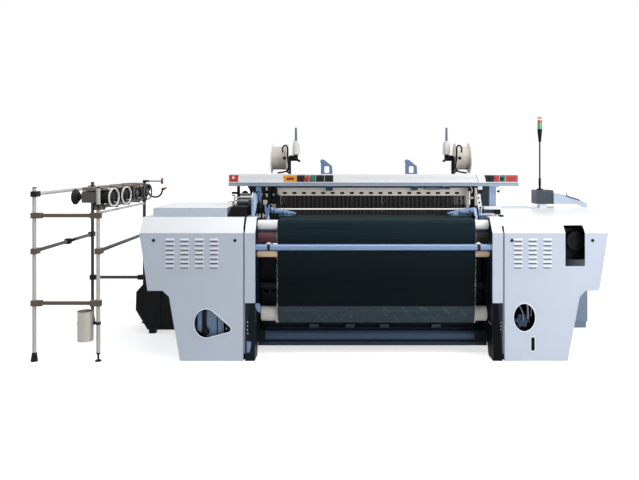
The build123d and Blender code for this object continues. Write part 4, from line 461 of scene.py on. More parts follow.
def dress(nodeName, *choices):
    # Gives a CAD node its finishes: the first is for every face, each later (finish, test) for the faces that
    # pass the test, which gets the x, y and z of their middles and the upward part of their normals
    thing = nodes[nodeName]
    mesh = thing.data
    mesh.materials.clear()
    mesh.materials.append(finishes[choices[0]])
    count = len(mesh.polygons)
    middles = np.zeros(count * 3)
    normals = np.zeros(count * 3)
    mesh.polygons.foreach_get("center", middles)
    mesh.polygons.foreach_get("normal", normals)
    x, y, z = middles.reshape(-1, 3).T
    up = normals.reshape(-1, 3)[:, 2]
    slots = np.zeros(count, dtype=np.int32)
    for number, (finish, test) in enumerate(choices[1:]):
        mesh.materials.append(finishes[finish])
        slots[test(x, y, z, up)] = number + 1
    mesh.polygons.foreach_set("material_index", slots)
    mesh.update()


print("finishes ready")


# Finishes of the CAD pieces
def deckTest(x, y, z, up):
    # Faces of a cover that look up, the front slope included: they take painted light, a near-white copy of the
    # cover paint
    return up > 0.5


def legTest(x, y, z, up):
    return (y < 0.19) & (z < 0.53)


dress("left_front_cover", "coverBlue", ("coverTop", deckTest))
# The inside faces of the pocket near x 1.8 get near-black painted shade
dress("right_front_cover", "coverBlue", ("coverTop", deckTest), (
    "innerBlack", lambda x, y, z, up: (abs(x - 1.8) < 0.1) & (abs(z - 1.06) < 0.2) & (y > 0.004) & (y < 0.3)
))
dress("strip_covers", "stripBlue", ("coverTop", deckTest))
dress("left_top_box", "boxBlue", ("coverTop", deckTest))
dress("cover_locks", "blackMatt", ("steel", lambda x, y, z, up: y > 0.003))
dress("left_side_frame", "castBlue", ("legDark", legTest))
# The right leg takes the darker, painted-shade copy of the leg paint
dress("right_side_frame", "castBlue", ("legShaded", legTest))
dress("lower_crossbeam", "navy", ("darkNavy", lambda x, y, z, up: (z < 0.1) | (y > 0.36)),
      ("legDark", lambda x, y, z, up: abs(x) > 1.0))
dress("rear_crossbeam", "navy")
dress("top_gantry", "darkNavy", ("paleBlue", lambda x, y, z, up: (x > 1.1695) & (z > 1.3735)))
dress("breast_beam", "armBlue")
dress("gearboxes", "black")
# The sign beam's lower faces, below z 1.6065, get blue-grey painted shade
dress(
    "sign_beam", "white", ("fieldGrey", lambda x, y, z, up: (y > 0.4705) & (y < 0.4725) & (z > 1.62)),
    ("beamUnderShade", lambda x, y, z, up: z < 1.6065), ("blackMatt", lambda x, y, z, up: y < 0.4695),
    ("red", lambda x, y, z, up: (y < 0.4695) & ((abs(x + 0.633) < 0.03) | (abs(x - 1.231) < 0.03))),
    ("greenButton", lambda x, y, z, up: (y < 0.4665) & (abs(x + 0.581) < 0.02))
)
dress("guard_tube", "tubeBlue")
dress("guard_clips", "white", ("blackMatt", lambda x, y, z, up: z < 1.0605))
dress("temples", "paleBlue")
dress(
    "rapier_guides", "blackMatt", ("white", lambda x, y, z, up: (z > 1.3485) & (x > 0)),
    ("navy", lambda x, y, z, up: (y < 0.437) & (z < 1.3485) & (x > 0) & (x < 1.215))
)
dress(
    "weft_selector", "black", ("steel", lambda x, y, z, up: (z > 1.395) & (x < -1.18)),
    ("paleBlue", lambda x, y, z, up: x > -1.175)
)
dress("harness_arms", "armBlue")
dress("reel_arms", "black", ("greyMetal", lambda x, y, z, up: (abs(x) < 0.85) & (z > 1.881)))
dress("control_cabinet", "cabinet")
dress(
    "operator_terminal", "terminal", ("screen", lambda x, y, z, up: (y < 1.2295) & (y > 1.2285) & (x < 2.03)),
    ("coverTop", lambda x, y, z, up: (x < 2.045) & (z < 1.345) & (y > 1.235)),
    ("wedge", lambda x, y, z, up: x > 2.045)
)
dress("lamp_pole", "black")
dress(
    "signal_lamps", "greenLens", ("redLens", lambda x, y, z, up: z > 2.242),
    ("reelWhite", lambda x, y, z, up: z > 2.2722), ("amber", lambda x, y, z, up: z > 2.2926)
)
dress("dobby_housing", "black")
dress("main_motor", "black", ("armBlue", lambda x, y, z, up: abs(x + 1.52) > 0.1405))
dress("drop_wires", "steel", ("darkNavy", lambda x, y, z, up: abs(x) > 1.0))
dress(
    "stand_tubes", "postDark", ("postWhite", lambda x, y, z, up: (x < -3.07) & (abs(y) < 0.03)),
    ("postBeige", lambda x, y, z, up: (abs(x + 2.508) < 0.02) & (abs(y) < 0.02)),
    ("railBrown", lambda x, y, z, up: (x > -3.07) & (x < -2.53) & (abs(y) < 0.03)),
    ("postWhite", lambda x, y, z, up: (z > 1.47) & (x < -3.07) & (y > 0.02))
)
dress(
    "stand_fittings", "blackMatt", ("railBrown", lambda x, y, z, up: (abs(y) < 0.05) & (z > 0.4) & (z < 1.4)),
    ("red", lambda x, y, z, up: (x > -2.33) & (z > 1.59))
)
dress("waste_can", "tin", ("blackMatt", lambda x, y, z, up: x > -2.553))
dress("takeup_roller", "umber", ("maroon", lambda x, y, z, up: x < 0))
dress("breast_roller", "rollerWhite", ("cream", lambda x, y, z, up: x > 1.07))
dress("guide_roller", "rollerTan")
dress("roll_core", "core", (
    "blackMatt", lambda x, y, z, up: (x < -1.0) & (np.hypot(y - 0.25, z - 0.376) < 0.055)
))
dress("warp_beam", "aluminium")
dress("back_rest_roller", "steel")
dress("handwheel", "armBlue", ("navy", lambda x, y, z, up: y < 0.0605))
for number in range(1, 5):
    dress("heald_frame_" + str(number), "stave",
          ("darkSteel", lambda x, y, z, up: (z < 1.4725) & (z > 1.0605) & (abs(x) < 0.9595)))
dress("reed", "capGrey", ("darkSteel", lambda x, y, z, up: z < 1.333))
dress("sley", "darkNavy")
for side in ("left", "right"):
    dress(side + "_rapier_head", "chrome")
    dress(side + "_rapier_wheel", "black", ("darkSteel", lambda x, y, z, up: y > 0.45))
    reelLow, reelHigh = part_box(side + "_reel")
    dress(side + "_reel", "reelWhite",
          ("yarnBrown", lambda x, y, z, up: (x > reelLow[0] + 0.0105) & (x < reelHigh[0] - 0.0105)
           & (np.hypot(y - 0.895, z - 1.85) < 0.1215)))
feeder = {"turn": math.radians(-12), "x": -2.508, "z": 1.487, "firstY": 0.1, "pitch": 0.35, "count": 4}


def offFeeder(y):
    # Distance in y from the nearest feeder's place on the tube
    return (y - feeder["firstY"] + feeder["pitch"] / 2) % feeder["pitch"] - feeder["pitch"] / 2


def alongFeeder(x, y):
    # Distance along the nearest feeder's own axis, from the feeder tube
    return (x - feeder["x"]) * math.cos(feeder["turn"]) + offFeeder(y) * math.sin(feeder["turn"])


def besideFeeder(x, y, z):
    # Distance off that axis
    across = offFeeder(y) * math.cos(feeder["turn"]) - (x - feeder["x"]) * math.sin(feeder["turn"])
    return np.hypot(z - feeder["z"], across)


dress(
    "feeder_bodies", "feederBody",
    ("blackMatt", lambda x, y, z, up: (alongFeeder(x, y) < -0.182) | (alongFeeder(x, y) > 0.001)),
    ("blackMatt", lambda x, y, z, up: z < 1.4325),
    ("chrome", lambda x, y, z, up: (z > 1.5605) & (alongFeeder(x, y) < 0.112)),
    (
        "reelWhite",
        lambda x, y, z, up: (alongFeeder(x, y) > 0.1125) & (besideFeeder(x, y, z) > 0.06) & (y < 0.62)
    ),
    ("darkSteel", lambda x, y, z, up: (alongFeeder(x, y) > 0.1125) & (y > 0.62))
)
for number in range(1, 5):
    dress("feeder_disc_" + str(number), "blackMatt")
print("CAD pieces finished")


# Surfaces worked out with numpy
def surfaceMesh(name, grid, finish, closeV=False, uv=None, flip=False):
    # grid[i, j] is the point at parameters (u_i, v_j); each cell becomes one quad. closeV joins the last column
    # to the first
    rows, columns = grid.shape[:2]
    columnTotal = columns if closeV else columns - 1
    i, j = np.meshgrid(np.arange(rows - 1), np.arange(columnTotal), indexing="ij")
    nextI = i + 1
    nextJ = (j + 1) % columns
    quads = np.stack([i * columns + j, nextI * columns + j, nextI * columns + nextJ, i * columns + nextJ], -1)
    quads = quads.reshape(-1, 4)
    if flip:
        quads = quads[:, ::-1]
    return quadMesh(name, grid.reshape(-1, 3), quads, finish, uv)


def quadMesh(name, points, quads, finish, uv=None, smooth=True):
    mesh = bpy.data.meshes.new(name)
    mesh.vertices.add(len(points))
    mesh.vertices.foreach_set("co", np.ascontiguousarray(points, dtype=np.float32).ravel())
    mesh.loops.add(quads.size)
    mesh.loops.foreach_set("vertex_index", np.ascontiguousarray(quads, dtype=np.int32).ravel())
    mesh.polygons.add(len(quads))
    mesh.polygons.foreach_set("loop_start", np.arange(0, quads.size, 4, dtype=np.int32))
    mesh.polygons.foreach_set("loop_total", np.full(len(quads), 4, dtype=np.int32))
    mesh.polygons.foreach_set("use_smooth", np.full(len(quads), smooth))
    if uv is not None:
        layer = mesh.uv_layers.new(name="UVMap")
        layer.data.foreach_set("uv", uv.reshape(-1, 2)[quads.ravel()].astype(np.float32).ravel())
    mesh.update()
    mesh.validate()
    merged = bmesh.new()
    merged.from_mesh(mesh)
    bmesh.ops.remove_doubles(merged, verts=merged.verts, dist=1e-6)
    merged.to_mesh(mesh)
    merged.free()
    mesh.set_sharp_from_angle(angle=math.radians(38))
    piece = bpy.data.objects.new(name, mesh)
    bpy.context.scene.collection.objects.link(piece)
    mesh.materials.append(finishes[finish])
    return piece


def joinQuads(parts):
    # Puts (points, quads) parts together as one list of points and quads
    offsets = np.cumsum([0] + [len(points) for points, _ in parts[:-1]])
    return (np.concatenate([points for points, _ in parts]),
            np.concatenate([quads + offset for (_, quads), offset in zip(parts, offsets)]))


boxQuads = np.array([(0, 3, 2, 1), (4, 5, 6, 7), (0, 1, 5, 4), (1, 2, 6, 5), (2, 3, 7, 6), (3, 0, 4, 7)])


def bars(lows, highs):
    # Rectangular bars between arrays of low and high corners: each corner is low + (high - low) * (0 or 1)
    picks = np.array([(0, 0, 0), (1, 0, 0), (1, 1, 0), (0, 1, 0), (0, 0, 1), (1, 0, 1), (1, 1, 1), (0, 1, 1)])
    lows = np.asarray(lows, float)[:, None, :]
    highs = np.asarray(highs, float)[:, None, :]
    points = (lows + (highs - lows) * picks[None]).reshape(-1, 3)
    quads = (boxQuads[None] + 8 * np.arange(lows.shape[0])[:, None, None]).reshape(-1, 4)
    return points, quads


def lofted(rings):
    # A closed body through rings of points, one after another, with fans to the middles of the end rings. The
    # faces turn outwards where the volume, summed over them, comes out negative
    rings = np.asarray(rings, float)
    ends = [np.repeat(ring.mean(0)[None, None], rings.shape[1], 1) for ring in (rings[0], rings[-1])]
    grid = np.concatenate([ends[0], rings, ends[1]])
    rows, sides = grid.shape[:2]
    i, j = np.meshgrid(np.arange(rows - 1), np.arange(sides), indexing="ij")
    quads = np.stack([
        i * sides + j, i * sides + (j + 1) % sides, (i + 1) * sides + (j + 1) % sides, (i + 1) * sides + j
    ], -1).reshape(-1, 4)
    points = grid.reshape(-1, 3)
    a, b, c, d = (points[quads[:, k]] for k in range(4))
    volume = (np.cross(a, b) * c).sum() + (np.cross(a, c) * d).sum()
    return points, quads if volume > 0 else quads[:, ::-1]


def tube(path, radii, sides=10):
    # A round section carried along a path: centre(v) + r(v) * (cos u * across(v) + sin u * up(v))
    path = np.asarray(path, float)
    radii = np.broadcast_to(np.asarray(radii, float), (len(path),))
    along = np.gradient(path, axis=0)
    along /= np.linalg.norm(along, axis=1, keepdims=True)
    guide = np.array([0.0, 0.0, 1.0]) if abs(along[:, 2]).max() < 0.9 else np.array([0.0, 1.0, 0.0])
    acrossWay = np.cross(along, guide)
    acrossWay /= np.linalg.norm(acrossWay, axis=1, keepdims=True)
    upWay = np.cross(acrossWay, along)
    turn = np.linspace(0, 2 * np.pi, sides, endpoint=False)
    ring = (np.cos(turn)[None, :, None] * acrossWay[:, None] + np.sin(turn)[None, :, None] * upWay[:, None])
    return lofted(path[:, None] + radii[:, None, None] * ring)


def turned(centre, axis, profile, sides=24):
    # A turned body: centre + t * axis + r * (cos a * first + sin a * second) for each (t, r) of the profile
    axis = np.asarray(axis, float) / np.linalg.norm(axis)
    guide = np.array([0.0, 0.0, 1.0]) if abs(axis[2]) < 0.9 else np.array([1.0, 0.0, 0.0])
    first = np.cross(axis, guide)
    first /= np.linalg.norm(first)
    second = np.cross(axis, first)
    turn = np.linspace(0, 2 * np.pi, sides, endpoint=False)[:, None]
    circle = np.cos(turn) * first + np.sin(turn) * second
    steps = np.asarray(profile, float)
    return lofted(np.asarray(centre) + steps[:, 0, None, None] * axis + steps[:, 1, None, None] * circle[None])


def slab(outline, front, back):
    # A flat plate: its outline in x and z at two depths
    outline = np.asarray(outline, float)
    rings = np.zeros((2, len(outline), 3))
    rings[:, :, 0] = outline[:, 0]
    rings[:, :, 2] = outline[:, 1]
    rings[:, :, 1] = np.array([[front], [back]])
    return lofted(rings)


def seenSlab(pixels, front, back):
    # A plate whose outline is given in pixels at its front
    return slab([spot(px, py, front)[[0, 2]] for px, py in pixels], front, back)


def seenBars(rows):
    # Bars given by the pixels of their left top and right bottom at their front, and the two depths
    corners = [(spot(left, bottom, front), spot(right, top, front), front, back)
               for left, top, right, bottom, front, back in rows]
    return bars([(low[0], front, low[2]) for low, high, front, back in corners],
                [(high[0], back, high[2]) for low, high, front, back in corners])


def rounded(path, rounds=2):
    # Cuts the corners of a path: each run keeps its points at a quarter and three quarters
    path = np.asarray(path, float)
    for _ in range(rounds):
        near = 0.75 * path[:-1] + 0.25 * path[1:]
        far = 0.25 * path[:-1] + 0.75 * path[1:]
        path = np.concatenate([path[:1], np.stack([near, far], 1).reshape(-1, 3), path[-1:]])
    return path


def seenWire(pixels, depth, radius, sides=10, rounds=2):
    # A bent rod or wire through pixels at one depth, its corners cut
    return tube(rounded([spot(px, py, depth) for px, py in pixels], rounds), radius, sides)


def thicken(made, thickness):
    # Gives an open surface its wall, half to each side
    wall = made.modifiers.new("wall", "SOLIDIFY")
    wall.thickness = thickness
    wall.offset = 0


def alongLength(path):
    return np.concatenate([[0], np.cumsum(np.linalg.norm(np.diff(path, axis=0), axis=1))])


def piece(name, body, parts, finish, slot, smooth=True):
    made = quadMesh(name, *joinQuads(parts), finish, None, smooth)
    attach(made, body)
    return made


def wobble(u, v, seed, waves=7):
    # Smooth seeded waviness: the mean of sine products with random wave numbers and phases
    rng = np.random.default_rng(seed)
    total = np.zeros(np.broadcast(u, v).shape)
    for _ in range(waves):
        wideU, wideV = rng.uniform(0.4, 2.4, 2)
        phaseU, phaseV = rng.uniform(0, 2 * np.pi, 2)
        total = total + np.sin(wideU * u + phaseU) * np.sin(wideV * v + phaseV)
    return total / waves


# Cloth from the fell over the rollers to the roll
cloth = {
    "left": -0.89, "right": 0.951, "wall": 0.0012, "clearance": 0.0011, "columns": 260, "spacing": 0.0065,
    "threads": 1100.0,
    "stops": [
        (0.434, 1.28, 0), (0.175, 1.225, 0.045), (0.1845, 1.107, 0.0585), (0.158, 0.952, 0.028),
        (0.25, 0.376, 0.084)
    ],
    "runLow": 0.46, "runHigh": 0.93, "ripple": 0.0022, "edgeWave": 0.0012, "edgeReach": 0.02, "edgeTurns": 55,
    "rollTop": 0.461, "groove": 0.0025, "swell": 0.0075, "swellMiddle": 0.04, "swellReach": 0.042,
    "creases": 30, "crease": 0.0075, "creaseZ": 0.41, "creaseSlope": 2.2, "creaseShift": 0.03,
    "creaseWide": 0.011, "creaseTall": 0.035
}


def tautPath(stops, clearance, spacing):
    # Straight runs that touch each circle, joined by arcs round the circles between them. A run touches at the
    # angle atan2(dz, dy) - acos((r1 - r2) / d)
    runs = []
    for (y1, z1, r1), (y2, z2, r2) in zip(stops, stops[1:]):
        r1 = r1 + clearance if r1 else 0
        r2 = r2 + clearance if r2 else 0
        angle = math.atan2(z2 - z1, y2 - y1) - math.acos((r1 - r2) / math.hypot(y2 - y1, z2 - z1))
        way = np.array([math.cos(angle), math.sin(angle)])
        runs.append((np.array([y1, z1]) + r1 * way, np.array([y2, z2]) + r2 * way))
    points = []
    for number, (start, end) in enumerate(runs):
        steps = max(2, int(np.linalg.norm(end - start) / spacing))
        points.append(start + (end - start) * np.linspace(0, 1, steps, endpoint=False)[:, None])
        if number + 1 < len(runs):
            centre = np.array(stops[number + 1][:2])
            first, last = end - centre, runs[number + 1][0] - centre
            startAngle = math.atan2(first[1], first[0])
            turn = (math.atan2(last[1], last[0]) - startAngle + math.pi) % (2 * math.pi) - math.pi
            steps = max(3, int(abs(turn) * np.linalg.norm(first) / spacing * 1.5))
            angles = startAngle + turn * np.linspace(0, 1, steps, endpoint=False)
            points.append(centre + np.linalg.norm(first) * np.stack([np.cos(angles), np.sin(angles)], -1))
    points.append(runs[-1][1][None])
    return np.concatenate(points)


def makeCloth():
    # Point(u, v) = path(v) + x(u), moved along the path's normal by ripple * wobble(u, v) * free(v), where free
    # is 0 on the rollers and 1 midway down the long run, and by a short wave that dies away from the edges.
    # Below the top of the roll it adds slanting creases, exp(-across^2) * exp(-up^2), and a swell that is half
    # an ellipse, with a groove above it
    path = tautPath(cloth["stops"], cloth["clearance"], cloth["spacing"])
    along = alongLength(path)
    tangent = np.gradient(path, axis=0)
    tangent /= np.linalg.norm(tangent, axis=1, keepdims=True)
    normal = np.stack([tangent[:, 1], -tangent[:, 0]], -1)
    x, z = np.linspace(cloth["left"], cloth["right"], cloth["columns"]), path[:, 1]
    free = np.clip((z - cloth["runLow"]) / 0.12, 0, 1) * np.clip((cloth["runHigh"] - z) / 0.1, 0, 1)
    u, v = np.meshgrid(x * 9, along * 3, indexing="ij")
    edge = np.minimum(x - x[0], x[-1] - x)[:, None]
    wave = cloth["edgeWave"] * np.exp(-edge / cloth["edgeReach"]) * np.sin(along * cloth["edgeTurns"])
    lift = cloth["ripple"] * wobble(u, v, 11) * free + wave * free
    rng = np.random.default_rng(3)
    crease = np.zeros_like(u)
    for _ in range(cloth["creases"]):
        middle, slope = rng.uniform(x[0], x[-1]), rng.uniform(-cloth["creaseSlope"], cloth["creaseSlope"])
        up = z - cloth["creaseZ"] + rng.uniform(-cloth["creaseShift"], cloth["creaseShift"])
        across = (x[:, None] - middle - slope * up) / cloth["creaseWide"]
        crease += rng.uniform(0.3, 1.0) * np.exp(-across ** 2) * np.exp(-(up / cloth["creaseTall"]) ** 2)
    onRoll = np.clip((cloth["rollTop"] - z) / 0.012, 0, 1)
    lift = lift + cloth["crease"] * np.minimum(crease, 1.0) * onRoll
    lift = lift - cloth["groove"] * np.exp(-((z - cloth["rollTop"] - 0.004) / 0.006) ** 2)
    swell = 1 - ((z - cloth["rollTop"] + cloth["swellMiddle"]) / cloth["swellReach"]) ** 2
    lift = lift + cloth["swell"] * np.sqrt(np.maximum(swell, 0))
    grid = np.stack([x[:, None] + 0 * lift, path[:, 0] + lift * normal[:, 0], z + lift * normal[:, 1]], -1)
    uv = np.stack(np.broadcast_arrays(x[:, None], along[None]), -1)
    made = surfaceMesh("wovenCloth", grid, "clothWeave", uv=uv)
    # Faces below the top of the roll take the lighter roll weave, painted light where the roll meets the light
    made.data.materials.append(finishes["rollLitWeave"])
    middles = np.zeros(len(made.data.polygons) * 3)
    made.data.polygons.foreach_get("center", middles)
    made.data.polygons.foreach_set("material_index", (middles[2::3] < cloth["rollTop"]).astype(np.int32))
    thicken(made, cloth["wall"])
    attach(made, "machine")
    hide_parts("cloth")
    return path


# The cloth's colour carries painted shade that darkens it down towards the roll
finishes["clothWeave"] = newMaterial(
    "clothWeave", "weave",
    {
        "Warp": linear(15, 24, 28), "Weft": linear(25, 42, 48), "Threads": cloth["threads"], "Slub": 0.9,
        "Fade": 0.6
    },
    {
        "Specular IOR Level": 0.08, "Sheen Weight": 0.04, "Sheen Roughness": 0.4,
        "Sheen Tint": (0.4, 0.6, 0.7, 1)
    },
    bump=0.5, bumpDistance=0.0003, useUv=True
)
# A lighter copy of the cloth for the roll and the band of sheet on it: painted light where the roll faces the
# light from above
finishes["rollLitWeave"] = newMaterial(
    "rollLitWeave", "weave",
    {"Warp": linear(36, 48, 54), "Weft": linear(60, 76, 84), "Threads": cloth["threads"], "Slub": 0.8},
    {"Specular IOR Level": 0.2, "Sheen Weight": 0.08, "Sheen Roughness": 0.4}, bump=0.5, bumpDistance=0.0003,
    useUv=True
)


def addStreaks(skin, colour, slant, repeats, amount):
    # Painted highlights on the creases: pale slanting streaks, noise turned by the slant and drawn out along it
    tree = skin.node_tree
    base = tree.nodes["Principled BSDF"].inputs["Base Color"]
    turn = tree.nodes.new("ShaderNodeVectorRotate")
    turn.inputs["Angle"].default_value = slant
    tree.links.new(tree.nodes.new("ShaderNodeTexCoord").outputs["UV"], turn.inputs["Vector"])
    noise = tree.nodes.new("ShaderNodeTexNoise")
    noise.inputs["Scale"].default_value = 1.0
    tree.links.new(addStretch(tree, turn.outputs["Vector"], repeats), noise.inputs["Vector"])
    mask = addRange(tree, noise.outputs[0], 0.60, 0.76, 0.0, amount)
    tree.links.new(addBlend(tree, mask, base.links[0].from_socket, colour), base)


addStreaks(finishes["rollLitWeave"], linear(112, 130, 138), -0.8, (5, 32, 1), 0.4)
finishes["selvedge"] = paint("selvedgeYarn", (222, 224, 222), rough=0.85, chips=0.0, coat=0.0)
finishes["healdSteel"] = paint(
    "healdSteel", (30, 29, 29), rough=0.5, chips=0.0, mottle=0.5, dust=0.0, metallic=0.2, coat=0.0, gloss=0.2
)
finishes["tapeBlack"] = paint("tapeLaminate", (22, 23, 25), rough=0.35, chips=0.1, bare=(0.2, 0.18, 0.12))
clothPath = makeCloth()


# Cloth roll: the wound cloth and its outermost turn, slack enough to crease
roll = {
    "y": 0.25, "z": 0.376, "radius": 0.0822, "turnRadius": 0.0838, "columns": 260, "steps": 150, "wall": 0.0009,
    "overlap": 0.35, "start": 2.2, "crease": 0.0016, "ridges": 26, "inset": 0.002, "endLayers": 4
}


def makeRoll():
    # Point(u, a) = middle + (radius + crease * f(u, a)) * (cos a, sin a), where f is a sum of slanting ridges:
    # sharp sines of a mix of u and a, each on its own stretch of the roll
    inner = cloth["left"] + roll["inset"]
    layers = [(inner, 0.069)] + [
        (inner + step * 0.0006, 0.0815 + step * 0.0002) for step in range(roll["endLayers"])
    ]
    profile = layers + [(0.0, roll["radius"])] + [
        (-x + cloth["left"] + cloth["right"], r) for x, r in layers[::-1]
    ]
    body = turned((0, roll["y"], roll["z"]), (1, 0, 0), profile, 72)
    core = piece("rollLayers", "cloth_beam", [body], "rollEnds", "cloth")
    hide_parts("cloth_roll")
    u = np.linspace(cloth["left"], cloth["right"], roll["columns"])[:, None]
    a = np.linspace(0, 2 * np.pi + roll["overlap"], roll["steps"])[None]
    rng = np.random.default_rng(5)
    f = np.zeros((u.size, a.size))
    for _ in range(roll["ridges"]):
        middle, reach = rng.uniform(cloth["left"], cloth["right"]), rng.uniform(0.05, 0.16)
        slope, phase, height = rng.uniform(-7, 7), rng.uniform(0, 2 * np.pi), rng.uniform(0.3, 1.0)
        ridge = np.exp(-((u - middle - 0.04 * np.sin(a + phase)) / reach) ** 2)
        f += height * ridge * np.exp(-(np.sin((slope * (u - middle) + a - phase) * 1.5) / 0.16) ** 2)
    f = np.minimum(f, 1.0) * 0.8 + 0.25 * wobble(u * 6, a * 2, 8)
    r = roll["turnRadius"] + roll["crease"] * f * np.clip((a[0, -1] - a) / 0.4, 0, 1) * np.clip(a / 0.3, 0.2, 1)
    r = r + 0.0007 * np.clip((a - 2 * np.pi) / roll["overlap"] + 0.6, 0, 1) + 0.0004
    turn = a + roll["start"]
    grid = np.stack([u + 0 * a, roll["y"] + r * np.cos(turn), roll["z"] + r * np.sin(turn)], -1)
    made = surfaceMesh("rollOuterTurn", grid, "rollLitWeave", uv=np.stack(
        [u + 0 * a, 0 * u + a * roll["radius"]], -1
    ))
    thicken(made, roll["wall"])
    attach(made, "cloth_beam")


finishes["rollEnds"] = paint("woundCloth", (70, 80, 84), rough=0.9, chips=0.0, mottle=0.5, coat=0.0)
makeRoll()


# Warp: the wound yarn on the beam, the sheet of ends over the back rest, and the ends through healds and reed
warp = {
    "halfX": 0.93, "wall": 0.0012, "clearance": 0.0011, "beam": (1.24, 0.52), "yarnRadius": 0.3,
    "barrel": 0.092, "yarnHalfX": 0.971, "stops": [(1.24, 0.52, 0.3), (1.5, 1.216, 0.065), (0.69, 1.28, 0)],
    "columns": 90, "spacing": 0.012, "turnSides": 120, "threads": 420.0, "fell": 0.433, "rear": 0.69,
    "line": 1.2812, "dents": 100, "dentPitch": 0.018772, "endsInDent": 6, "endPitch": 0.0026,
    "endWidth": 0.0016, "endWall": 0.0008, "bend": 0.552
}


def endsUv(x):
    # Flat along the ends, so that only the threads across x show
    return np.stack([x, np.full(x.shape, 0.5 / warp["threads"])], -1)


def makeWoundWarp():
    # Radius(x) = yarnRadius - a hair + a few tenths of a millimetre of slow waviness, turned about the beam
    x = np.linspace(-warp["yarnHalfX"], warp["yarnHalfX"], warp["columns"])
    r = warp["yarnRadius"] - 0.0006 + 0.0005 * np.sin(x * 23) * np.sin(x * 7 + 1)
    r[[0, -1]] = warp["barrel"]
    r[[1, -2]] = warp["yarnRadius"] - 0.001
    x[1], x[-2] = x[0] + 0.0005, x[-1] - 0.0005
    turn = np.linspace(0, 2 * np.pi, warp["turnSides"], endpoint=False)
    x, r = x[:, None] + 0 * turn, r[:, None]
    grid = np.stack([x, warp["beam"][0] + r * np.cos(turn), warp["beam"][1] + r * np.sin(turn)], -1)
    made = surfaceMesh("woundWarp", grid, "warpYarn", closeV=True, uv=endsUv(x), flip=True)
    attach(made, "beam")
    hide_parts("warp_yarn")


def makeWarpSheet():
    # Point(u, v) = path(v) + x(u), the path taut from the beam's yarn over the back rest to the healds
    path = tautPath(warp["stops"], warp["clearance"], warp["spacing"])
    x = np.linspace(-warp["halfX"], warp["halfX"], warp["columns"])[:, None] + 0 * path[:, 0]
    made = surfaceMesh("warpSheet", np.stack(
        [x, 0 * x + path[:, 0], 0 * x + path[:, 1]], -1
    ), "warpYarn", uv=endsUv(x))
    thicken(made, warp["wall"])
    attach(made, "machine")
    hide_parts("warp_sheet")


def stretchedEnds(x, ys):
    # Flat ends side by side: each is a four-sided section carried along y in steps
    corner = np.array([
        (-1, 0, -1), (1, 0, -1), (1, 0, 1), (-1, 0, 1)
    ]) * (warp["endWidth"] / 2, 0, warp["endWall"] / 2)
    points = np.zeros((len(x), len(ys), 4, 3))
    points += corner
    points[..., 0] += x[:, None, None]
    points[..., 1] += np.asarray(ys)[None, :, None]
    points[..., 2] += warp["line"]
    count = len(ys) * 4
    i, j = np.meshgrid(np.arange(len(ys) - 1), np.arange(4), indexing="ij")
    side = np.stack([
        i * 4 + j, i * 4 + (j + 1) % 4, (i + 1) * 4 + (j + 1) % 4, (i + 1) * 4 + j
    ], -1).reshape(-1, 4)
    caps = np.array([(3, 2, 1, 0), (count - 4, count - 3, count - 2, count - 1)])
    quads = np.concatenate([side, caps])[:, ::-1]
    return points.reshape(-1, 3), (quads[None] + count * np.arange(len(x))[:, None, None]).reshape(-1, 4)


# Healds: thin steel plates with an eye, each frame's a quarter of a pitch further on
harness = {
    "frames": 4, "firstY": 0.605, "pitch": 0.014, "wall": 0.01, "halfX": 0.954, "low": 1.0605, "high": 1.4725,
    "wires": 430, "wireWidth": 0.0031, "wireWall": 0.0012, "play": 0.0007, "order": (0, 2, 1, 3),
    "eyeHeight": 0.014, "eyeWidth": 0.0036, "slotBack": (1.484, 1.514), "slotFirst": -0.958, "slotZ": 1.499,
    "slotPitch": 0.096, "slots": 20
}


def uprights(x, halfX, y, halfY, low, high):
    # Upright bars side by side at x, with their half widths and half depths
    ones = np.ones_like(x)
    return bars(np.stack([x - halfX, ones * (y - halfY), ones * low], -1),
                np.stack([x + halfX, ones * (y + halfY), ones * high], -1))


def makeHealds(number):
    middle = harness["firstY"] + number * harness["pitch"] + harness["wall"] / 2
    body = "heald_" + str(number + 1)
    step = 2 * harness["halfX"] / harness["wires"]
    x = np.linspace(-harness["halfX"], harness["halfX"] - step, harness["wires"])
    x = x + step * (harness["order"][number] + 0.5) / 4
    x = x + np.random.default_rng(40 + number).uniform(-harness["play"], harness["play"], x.size)
    wall, eye = harness["wireWall"] / 2, harness["eyeHeight"] / 2
    plates = uprights(x, harness["wireWidth"] / 2, middle, wall, harness["low"], harness["high"])
    eyes = uprights(x, harness["eyeWidth"] / 2, middle, wall * 1.3, warp["line"] - eye, warp["line"] + eye)
    piece("healds" + str(number + 1), body, [plates, eyes], "healdSteel", "steel", smooth=False)
    dents = (np.arange(warp["dents"]) - (warp["dents"] - 1) / 2) * warp["dentPitch"]
    ends = (
        dents[:, None] + (np.arange(warp["endsInDent"]) - (warp["endsInDent"] - 1) / 2) * warp["endPitch"]
    ).ravel()
    ends = ends[(ends > cloth["left"] + 0.001) & (ends < warp["halfX"])][number::harness["frames"]]
    front = np.concatenate([[warp["fell"], 0.47, 0.51], np.linspace(warp["bend"], middle, 7)])
    rear = np.linspace(middle, warp["rear"], 7)
    for name, ys, bodies in (("warpFront", front, ("machine", body)), ("warpRear", rear, (body, "machine"))):
        made = quadMesh(name + str(number + 1), *stretchedEnds(ends, ys), "warpEnd", smooth=False)
        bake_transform(made)


finishes["warpYarn"] = newMaterial(
    "warpYarn", "weave",
    {"Warp": linear(10, 14, 17), "Weft": linear(30, 40, 45), "Threads": warp["threads"], "Slub": 0.6},
    {"Specular IOR Level": 0.3, "Sheen Weight": 0.05}, bump=0.5, bumpDistance=0.0005, useUv=True)
finishes["warpEnd"] = paint("warpEndYarn", (24, 30, 33), rough=0.8, chips=0.0, mottle=0.4, coat=0.0)
makeWoundWarp()
makeWarpSheet()
for number in range(harness["frames"]):
    makeHealds(number)
